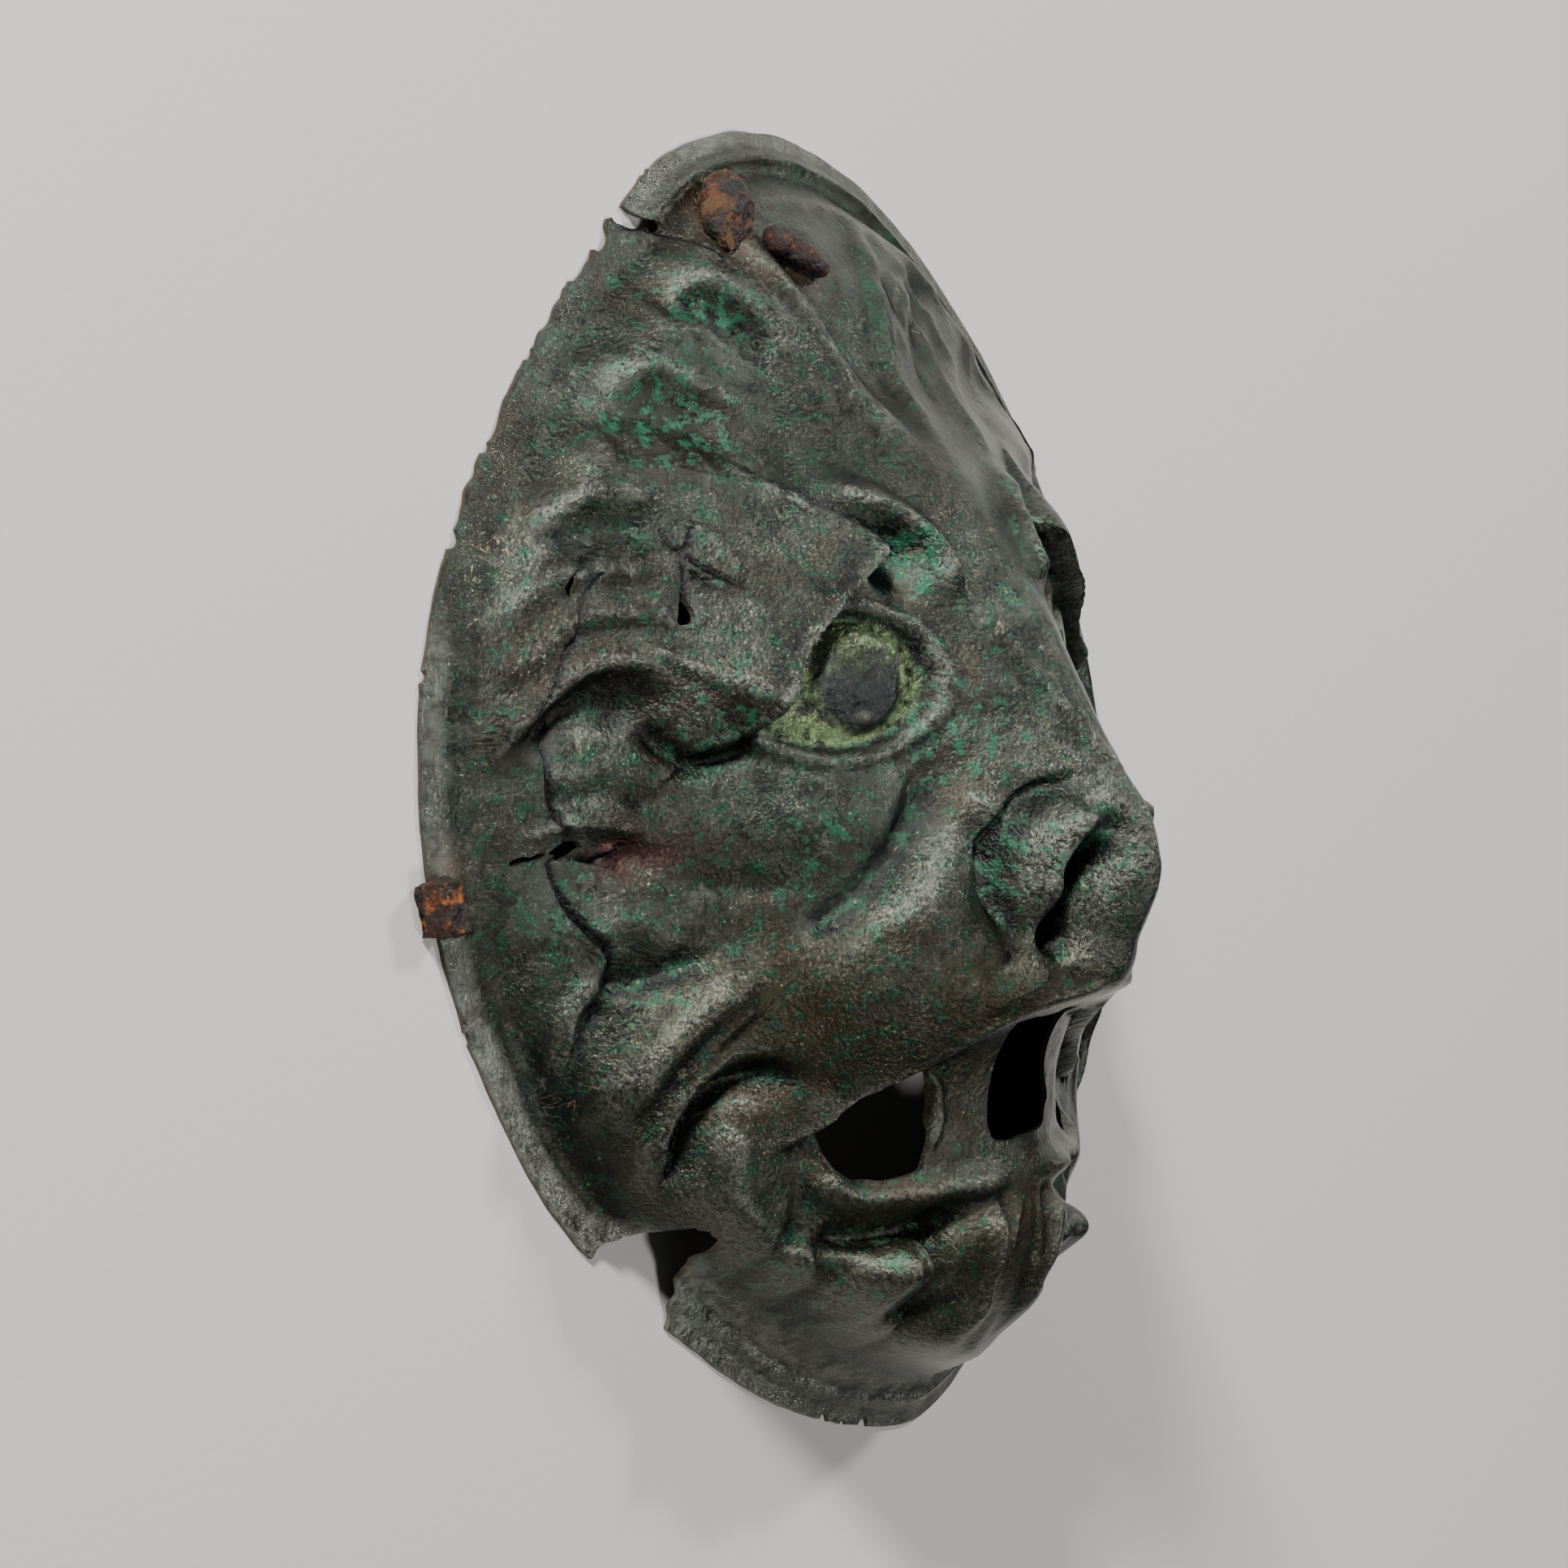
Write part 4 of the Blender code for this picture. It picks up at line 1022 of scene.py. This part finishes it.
def linear(hex_colour):
    """sRGB hex to linear RGBA."""
    values = [int(hex_colour[i:i + 2], 16) / 255.0 for i in (1, 3, 5)]
    return tuple(v / 12.92 if v <= 0.04045 else ((v + 0.055) / 1.055) ** 2.4
                 for v in values) + (1.0,)


def add_node(tree, kind, inputs=None, out=0, **settings):
    """Add a node, set or link its inputs and its settings, and return one of its outputs."""
    node = tree.nodes.new(kind)
    for name, value in settings.items():
        setattr(node, name, value)
    for name, value in (inputs or {}).items():
        if isinstance(value, bpy.types.NodeSocket):
            tree.links.new(value, node.inputs[name])
        else:
            node.inputs[name].default_value = value
    return node.outputs[out]


def per_metre(millimetres):
    """Scale of a pattern that repeats about every so many millimetres."""
    return 1000.0 / millimetres


def start_material(name):
    """A material with its tree and its shader's inputs."""
    material = bpy.data.materials.new(name)
    material.use_nodes = True
    return material, material.node_tree, material.node_tree.nodes["Principled BSDF"].inputs


def lay_colours(tree, colour, layers):
    """Lay colours over a first one, each by its own amount."""
    for hex_colour, amount in layers:
        colour = add_node(tree, "ShaderNodeMix",
                          {0: amount, 6: colour, 7: linear(hex_colour)}, 2, data_type="RGBA")
    return colour


def patinated_bronze(colours):
    """Hammered bronze sheet, buried for centuries: a dark grey-green and brown skin that still
    glints on its high places, paler there from wear and painted highlight, with painted glints
    over it; malachite and painted shade in the hollows, painted shade in the cracks, fibres and
    crumbs of soil, copper-red where the skin has flaked, and rust from the nails."""
    material, tree, shader = start_material("patinated_bronze")
    place = add_node(tree, "ShaderNodeTexCoord", out="Object")
    mesh = {name: add_node(tree, "ShaderNodeAttribute", out="Fac", attribute_name=name)
            for name in SHEET_VALUES}
    clouds, blotches, mottle, leather, dust, hair = [
        add_node(tree, "ShaderNodeTexNoise", {
            "Vector": place, "Scale": per_metre(grain), "Detail": detail, "Roughness": rough,
            "Distortion": distortion})
        for grain, detail, rough, distortion in SKIN_NOISES]
    hair = add_node(tree, "ShaderNodeMath", {0: hair, 1: 0.5, 2: 0.008}, operation="COMPARE")
    crumbs = add_node(tree, "ShaderNodeTexVoronoi", {"Vector": place, "Scale": per_metre(2.6)})
    marks = {}
    ranges = [
        ("dark_skin", blotches, 0.42, 0.60, 0.85),
        ("brown", clouds, 0.46, 0.62, 0.7),
        ("fine_dark", mottle, 0.46, 0.60, 0.6),
        ("olive_break", mottle, 0.36, 0.56, 0.9),
        # Painted shade: the hollows are darkened in the colour, as shade would darken them.
        ("painted_hollow_shade", mesh["hollow"], 0.08, 0.80, 0.85),
        ("deep", mesh["hollow"], 0.20, 0.90, 0.3),
        ("mottle", mottle, 0.49, 0.60, 0.9),
        ("thin_green", mottle, 0.53, 0.61, 0.75),
        # Painted highlight: the crests are made paler, partly as wear and partly standing in for
        # highlights.
        ("high", mesh["crest"], 0.15, 0.90, 0.3),
        ("pale_skin_and_light", leather, 0.38, 0.62, 1.0),
        ("ring_break", mottle, 0.40, 0.56, 0.8),
        ("streak_break", mottle, 0.42, 0.58, 0.7),
        ("flaked", blotches, 0.30, 0.62, 1.0),
        ("rim_break", mottle, 0.30, 0.60, 0.8),
        ("hair_cloud", clouds, 0.50, 0.40, 0.5),
        ("freckle", dust, 0.64, 0.72, 0.55),
        # Painted glints: pale specks in the colour stand in for glints of light.
        ("painted_glint", dust, 0.57, 0.67, 0.40),
        ("painted_glint_cloud", blotches, 0.62, 0.40, 1.0),
        ("freckle_cloud", clouds, 0.35, 0.60, 1.0),
        ("crumb", crumbs, 0.16, 0.08, 0.7),
        ("crumb_cloud", mottle, 0.50, 0.62, 1.0),
        ("earth_break", blotches, 0.30, 0.60, 1.0),
    ]
    for name, source, low, high, most in ranges:
        marks[name] = add_node(tree, "ShaderNodeMapRange", {
            "Value": source, "From Min": low, "From Max": high, "To Max": most},
            interpolation_type="SMOOTHSTEP")
    green_place = add_node(tree, "ShaderNodeMath", {0: mesh["green_spots"], 1: marks["deep"]},
                           operation="MAXIMUM")
    products = [
        ("malachite", green_place, marks["mottle"]),
        ("worn_and_highlight", marks["high"], marks["pale_skin_and_light"]),
        ("ring", mesh["eye_ring"], marks["ring_break"]),
        ("streak", mesh["green"], marks["streak_break"]),
        ("olive", mesh["olive"], marks["olive_break"]),
        ("red", mesh["copper_red"], marks["flaked"]),
        ("rust", mesh["rust"], marks["flaked"]),
        ("rim", mesh["rim_dust_and_light"], marks["rim_break"]),
        ("hairs", hair, marks["hair_cloud"]),
        ("freckles", marks["freckle"], marks["freckle_cloud"]),
        ("painted_glints", marks["painted_glint"], marks["painted_glint_cloud"]),
        ("soil", marks["crumb"], marks["crumb_cloud"]),
        ("earth", mesh["inner_side"], marks["earth_break"]),
    ]
    for name, first, second in products:
        marks[name] = add_node(tree, "ShaderNodeMath", {0: first, 1: second},
                               operation="MULTIPLY")
    colour = lay_colours(tree, linear(colours.grey_green), [
        (colours.dark_skin, marks["dark_skin"]),
        (colours.brown, marks["brown"]),
        (colours.olive, marks["olive"]),
        (colours.dark_skin, marks["fine_dark"]),
        (colours.deep_green, marks["thin_green"]),
        # Painted highlight: pale glint specks laid into the colour.
        (colours.painted_glint, marks["painted_glints"]),
        # Painted shade: near-black in the hollows.
        (colours.black_green, marks["painted_hollow_shade"]),
        (colours.malachite, marks["malachite"]),
        # Pale crests: wear and painted highlight.
        (colours.pale_skin_and_light, marks["worn_and_highlight"]),
        (colours.pale_green, marks["ring"]),
        (colours.malachite, marks["streak"]),
        (colours.iris_grey, mesh["iris"]),
        (colours.copper_red, marks["red"]),
        (colours.stain, marks["rust"]),
        # Pale rim: dust and painted light.
        (colours.pale_skin_and_light, marks["rim"]),
        (colours.dust, marks["freckles"]),
        (colours.dust, marks["hairs"]),
        (colours.soil, marks["soil"]),
        # Painted shade: near-black in the cracks.
        (colours.painted_crack_shade, mesh["crack"]),
        (colours.earth, marks["earth"]),
    ])
    matt = add_node(tree, "ShaderNodeMath", {0: marks["malachite"], 1: marks["rust"]},
                    operation="MAXIMUM")
    matt = add_node(tree, "ShaderNodeMath", {0: matt, 1: marks["earth"]}, operation="MAXIMUM")
    rough = add_node(tree, "ShaderNodeMath", {0: leather, 1: 0.32, 2: 0.06},
                     operation="MULTIPLY_ADD")
    rough = add_node(tree, "ShaderNodeMath", {0: matt, 1: 0.35, 2: rough},
                     operation="MULTIPLY_ADD")
    metallic = add_node(tree, "ShaderNodeMath", {0: matt, 1: -0.6, 2: 0.80},
                        operation="MULTIPLY_ADD")
    normal = add_node(tree, "ShaderNodeBump", {"Height": mottle, "Distance": 0.0003})
    normal = add_node(tree, "ShaderNodeBump",
                      {"Height": leather, "Distance": 0.00040, "Normal": normal})
    normal = add_node(tree, "ShaderNodeBump",
                      {"Height": dust, "Distance": 0.00010, "Normal": normal})
    for name, socket in (("Base Color", colour), ("Roughness", rough), ("Metallic", metallic),
                         ("Normal", normal), ("Coat Normal", normal)):
        tree.links.new(socket, shader[name])
    shader["Coat Weight"].default_value = 0.2
    shader["Coat Roughness"].default_value = 0.2
    return material


def corroded_iron(name, first, layers, patch_mm, high_rough, low_rough):
    """Corroded iron in patches: a first colour with others laid over it by noise. The last two
    values are the roughness where the patches' noise is high and where it is low."""
    material, tree, shader = start_material(name)
    place = add_node(tree, "ShaderNodeTexCoord", out="Object")
    patches = add_node(tree, "ShaderNodeTexNoise", {
        "Vector": place, "Scale": per_metre(patch_mm), "Detail": 6.0, "Roughness": 0.66,
        "Distortion": 0.5})
    flakes = add_node(tree, "ShaderNodeTexNoise", {
        "Vector": place, "Scale": per_metre(0.6 * patch_mm), "Detail": 5.0, "Roughness": 0.6})
    grit = add_node(tree, "ShaderNodeTexNoise", {
        "Vector": place, "Scale": per_metre(0.9), "Detail": 4.0, "Roughness": 0.72})
    sources = {"patches": patches, "flakes": flakes, "grit": grit}
    marks = []
    for source, low, high, most, hex_colour in layers:
        amount = add_node(tree, "ShaderNodeMapRange", {
            "Value": sources[source], "From Min": low, "From Max": high, "To Max": most},
            interpolation_type="SMOOTHSTEP")
        marks.append((hex_colour, amount))
    colour = lay_colours(tree, linear(first), marks)
    rough = add_node(tree, "ShaderNodeMapRange", {
        "Value": patches, "From Min": 0.42, "From Max": 0.58, "To Min": low_rough,
        "To Max": high_rough})
    normal = add_node(tree, "ShaderNodeBump", {"Height": patches, "Distance": 0.0010})
    normal = add_node(tree, "ShaderNodeBump",
                      {"Height": grit, "Distance": 0.0005, "Normal": normal})
    for name, socket in (("Base Color", colour), ("Roughness", rough), ("Normal", normal)):
        tree.links.new(socket, shader[name])
    shader["Metallic"].default_value = 0.15
    return material


def rust_crust(colours):
    """Iron swollen to rust: a dry tan and brown crust, orange below it, with black scale."""
    return corroded_iron("rust_crust", colours.rust_brown, [
        ("patches", 0.50, 0.40, 0.7, colours.rust_tan),
        ("flakes", 0.56, 0.66, 0.7, colours.rust),
        ("patches", 0.50, 0.58, 1.0, colours.iron_black),
        ("grit", 0.58, 0.72, 0.4, colours.dust),
    ], 4.0, 0.25, 0.95)


def bent_iron(colours):
    """Forged iron, bent over and corroded: black and brown scale with a dull gloss."""
    return corroded_iron("bent_iron", colours.iron_black, [
        ("patches", 0.42, 0.55, 1.0, colours.rust_brown),
        ("flakes", 0.55, 0.68, 1.0, colours.rust),
    ], 4.0, 0.80, 0.34)


def split_iron(colours):
    """A broken iron nail end: glittering black breaks under bright orange rust."""
    return corroded_iron("split_iron", colours.iron_black, [
        ("patches", 0.36, 0.56, 1.0, colours.rust_brown),
        ("flakes", 0.50, 0.70, 0.8, colours.rust_orange),
    ], 6.0, 0.90, 0.30)


def studio_paper(colours):
    """Matt pale studio paper, with the faint tooth that keeps its light soft."""
    material, tree, shader = start_material("studio_paper")
    place = add_node(tree, "ShaderNodeTexCoord", out="Object")
    tooth = add_node(tree, "ShaderNodeTexNoise", {"Vector": place, "Scale": per_metre(2.0)})
    normal = add_node(tree, "ShaderNodeBump", {"Height": tooth, "Distance": 0.00004})
    tree.links.new(normal, shader["Normal"])
    shader["Base Color"].default_value = linear(colours.floor)
    shader["Roughness"].default_value = 0.92
    return material


class LionMaskSizes(bpy.types.PropertyGroup):
    """Sizes of the sheet and the nails that a user may change."""
    thickness: bpy.props.FloatProperty(
        name="Sheet thickness", description="Thickness of the hammered bronze sheet",
        default=0.001, min=0.0003, unit="LENGTH")
    hammer_depth: bpy.props.FloatProperty(
        name="Hammer marks", description="Depth of the hammer marks and small dents",
        default=0.0004, min=0.0, unit="LENGTH")
    crack_depth: bpy.props.FloatProperty(
        name="Cracks", description="Depth of the cracks in the sheet",
        default=0.0012, min=0.0, unit="LENGTH")
    raggedness: bpy.props.FloatProperty(
        name="Torn edges", description="How far the torn edges wander",
        default=0.0009, min=0.0, unit="LENGTH")
    rust_depth: bpy.props.FloatProperty(
        name="Rust blisters", description="Depth of the blisters and pits in the iron",
        default=0.0009, min=0.0, unit="LENGTH")


def colour_choice(name, description, hex_colour):
    return bpy.props.StringProperty(name=name, description=description, default=hex_colour)


class LionMaskColours(bpy.types.PropertyGroup):
    """Colours of the patina, the iron and the floor, with the painted shade and highlights, as
    sRGB hex.
    """
    grey_green: colour_choice("Grey-green skin", "Main colour of the patina", "#3d4239")
    dark_skin: colour_choice("Dark skin", "Dark parts of the patina", "#141812")
    brown: colour_choice("Brown skin", "Brown clouds of the patina", "#2f281c")
    olive: colour_choice("Olive brown", "Warm brown under the muzzle and chin", "#3f2e10")
    deep_green: colour_choice("Deep green", "Thin dark green film", "#144530")
    # Painted shade: near-black laid into the hollows in place of shade.
    black_green: colour_choice("Hollows", "Dark dirt in the hollows", "#0a0f0b")
    malachite: colour_choice("Malachite", "Green corrosion in the hollows", "#0f5e40")
    pale_green: colour_choice("Pale green", "Yellowish green ring round the iris", "#73875a")
    # Pale skin: wear on the crests with painted highlight, and dust with painted light on the rim.
    pale_skin_and_light: colour_choice("Rubbed skin", "Lighter skin on the high places", "#8c8d84")
    # Painted highlight: pale grains that stand in for glints of light on the skin.
    painted_glint: colour_choice("Glints", "Bright grains of the worn skin", "#a3a79c")
    iris_grey: colour_choice("Iris", "Dark grey of the iris", "#272a2a")
    copper_red: colour_choice("Copper red", "Red oxide where the skin flaked", "#361716")
    soil: colour_choice("Soil", "Crumbs of pale soil", "#94804f")
    dust: colour_choice("Dust", "Tan dust and fibres", "#8f8468")
    earth: colour_choice("Earth", "Soil left inside the mask", "#4f4330")
    # Painted shade: near-black standing in for the shade deep in the cracks.
    painted_crack_shade: colour_choice("Cracks", "Dark depth of the cracks", "#0b0a08")
    stain: colour_choice("Rust stain", "Brown stain round the nails", "#4b3322")
    rust: colour_choice("Rust", "Brown rust of the nails", "#6b3a1c")
    rust_orange: colour_choice("Orange rust", "Bright fresh rust", "#b5682a")
    rust_tan: colour_choice("Tan rust", "Dry tan crust", "#6a4b31")
    rust_brown: colour_choice("Brown rust", "Dark brown crust", "#2c1910")
    iron_black: colour_choice("Iron black", "Black scale of the iron", "#15110f")
    floor: colour_choice("Floor", "Pale studio paper", "#cfccc6")


def dress(obj, material):
    obj.data.materials.append(material)


class LION_OT_bronze_sheet(bpy.types.Operator):
    """Model and finish the hammered bronze sheet"""
    bl_idname = "lion_mask.bronze_sheet"
    bl_label = "Bronze sheet"

    def execute(self, context):
        sheet = make_sheet(context.scene.lion_mask_sizes)
        dress(sheet, patinated_bronze(context.scene.lion_mask_colours))
        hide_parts("bronze_mask")
        return {"FINISHED"}


class LION_OT_nail_stumps(bpy.types.Operator):
    """Model and finish the remains of the three iron nails"""
    bl_idname = "lion_mask.nail_stumps"
    bl_label = "Iron nail remains"

    def execute(self, context):
        sizes = context.scene.lion_mask_sizes
        colours = context.scene.lion_mask_colours
        crust = make_lump(sizes)
        dress(crust, rust_crust(colours))
        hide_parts("iron_nail_lump")
        iron = bent_iron(colours)
        for piece in make_bent_nail(sizes):
            dress(piece, iron)
            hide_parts("iron_nail_bent")
        clench = make_clench(sizes)
        dress(clench, split_iron(colours))
        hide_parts("iron_rim_clench")
        return {"FINISHED"}


class LION_OT_stage(bpy.types.Operator):
    """Lay the pale floor and set the soft light and the camera"""
    bl_idname = "lion_mask.stage"
    bl_label = "Floor, light and camera"

    def execute(self, context):
        set_floor(context.scene.lion_mask_colours)
        set_lights()
        set_camera()
        return {"FINISHED"}


def set_floor(colours):
    bm = bmesh.new()
    bmesh.ops.create_grid(bm, x_segments=2, y_segments=2, size=FLOOR_HALF)
    mesh = bpy.data.meshes.new("studio_floor")
    bm.to_mesh(mesh)
    bm.free()
    floor = bpy.data.objects.new("studio_floor", mesh)
    bpy.context.scene.collection.objects.link(floor)
    floor.data.materials.append(studio_paper(colours))


def set_lights():
    """Soft lamps: a strong one before the forehead on the camera's side, and weaker ones on
    the far side and overhead."""
    for name, place, size, power in STUDIO_LIGHTS:
        light = bpy.data.lights.new(name, "AREA")
        light.shape = "DISK"
        light.size = size
        light.energy = power
        lamp = bpy.data.objects.new(name, light)
        lamp.location = place
        aim = Vector(LAMP_AIM) - Vector(place)
        lamp.rotation_euler = aim.to_track_quat("-Z", "Y").to_euler()
        bpy.context.scene.collection.objects.link(lamp)
    world = bpy.data.worlds.new("studio_world")
    world.use_nodes = True
    background = world.node_tree.nodes["Background"]
    background.inputs["Color"].default_value = WORLD_COLOUR
    background.inputs["Strength"].default_value = WORLD_STRENGTH
    bpy.context.scene.world = world


def set_camera():
    """A long lens that looks over the face's own right cheek, a little from the forehead."""
    side, rise, roll = (radians(angle) for angle in (CAMERA_SIDE, CAMERA_RISE, CAMERA_ROLL))
    back = Vector((-sin(side) * cos(rise), sin(rise), cos(side) * cos(rise)))
    right = (-back).cross(Vector((0, 1, 0))).normalized()
    up = right.cross(-back)
    level_right = cos(roll) * right + sin(roll) * up
    level_up = -sin(roll) * right + cos(roll) * up
    middle_x, middle_y = part_place(0.0, 0.0)
    camera = bpy.data.cameras.new("photo_view")
    camera.lens = CAMERA_LENS
    camera.sensor_width = SENSOR_WIDTH
    camera.clip_end = CLIP_END
    view = bpy.data.objects.new("photo_view", camera)
    place = Vector((middle_x, middle_y, 0.0)) + back * CAMERA_DISTANCE
    turn = Matrix((level_right, level_up, back)).transposed().to_4x4()
    view.matrix_world = Matrix.Translation(place) @ turn
    bpy.context.scene.collection.objects.link(view)
    bpy.context.scene.camera = view


class LION_PT_panel(bpy.types.Panel):
    """Lion mask"""
    bl_idname = "LION_PT_panel"
    bl_label = "Bronze lion mask"
    bl_space_type = "VIEW_3D"
    bl_region_type = "UI"
    bl_category = "Lion Mask"

    def draw(self, context):
        layout = self.layout
        for operator in (LION_OT_bronze_sheet, LION_OT_nail_stumps, LION_OT_stage):
            layout.operator(operator.bl_idname)
        for group in (context.scene.lion_mask_sizes, context.scene.lion_mask_colours):
            for name in group.__annotations__:
                layout.prop(group, name)


CLASSES = (LionMaskSizes, LionMaskColours, LION_OT_bronze_sheet, LION_OT_nail_stumps,
           LION_OT_stage, LION_PT_panel)


def register():
    for cls in CLASSES:
        bpy.utils.register_class(cls)
    bpy.types.Scene.lion_mask_sizes = bpy.props.PointerProperty(type=LionMaskSizes)
    bpy.types.Scene.lion_mask_colours = bpy.props.PointerProperty(type=LionMaskColours)


def unregister():
    del bpy.types.Scene.lion_mask_colours
    del bpy.types.Scene.lion_mask_sizes
    for cls in reversed(CLASSES):
        bpy.utils.unregister_class(cls)


def main():
    register()
    bpy.ops.lion_mask.bronze_sheet()
    bpy.ops.lion_mask.nail_stumps()
    bpy.ops.lion_mask.stage()


if __name__ == "__main__":
    main()
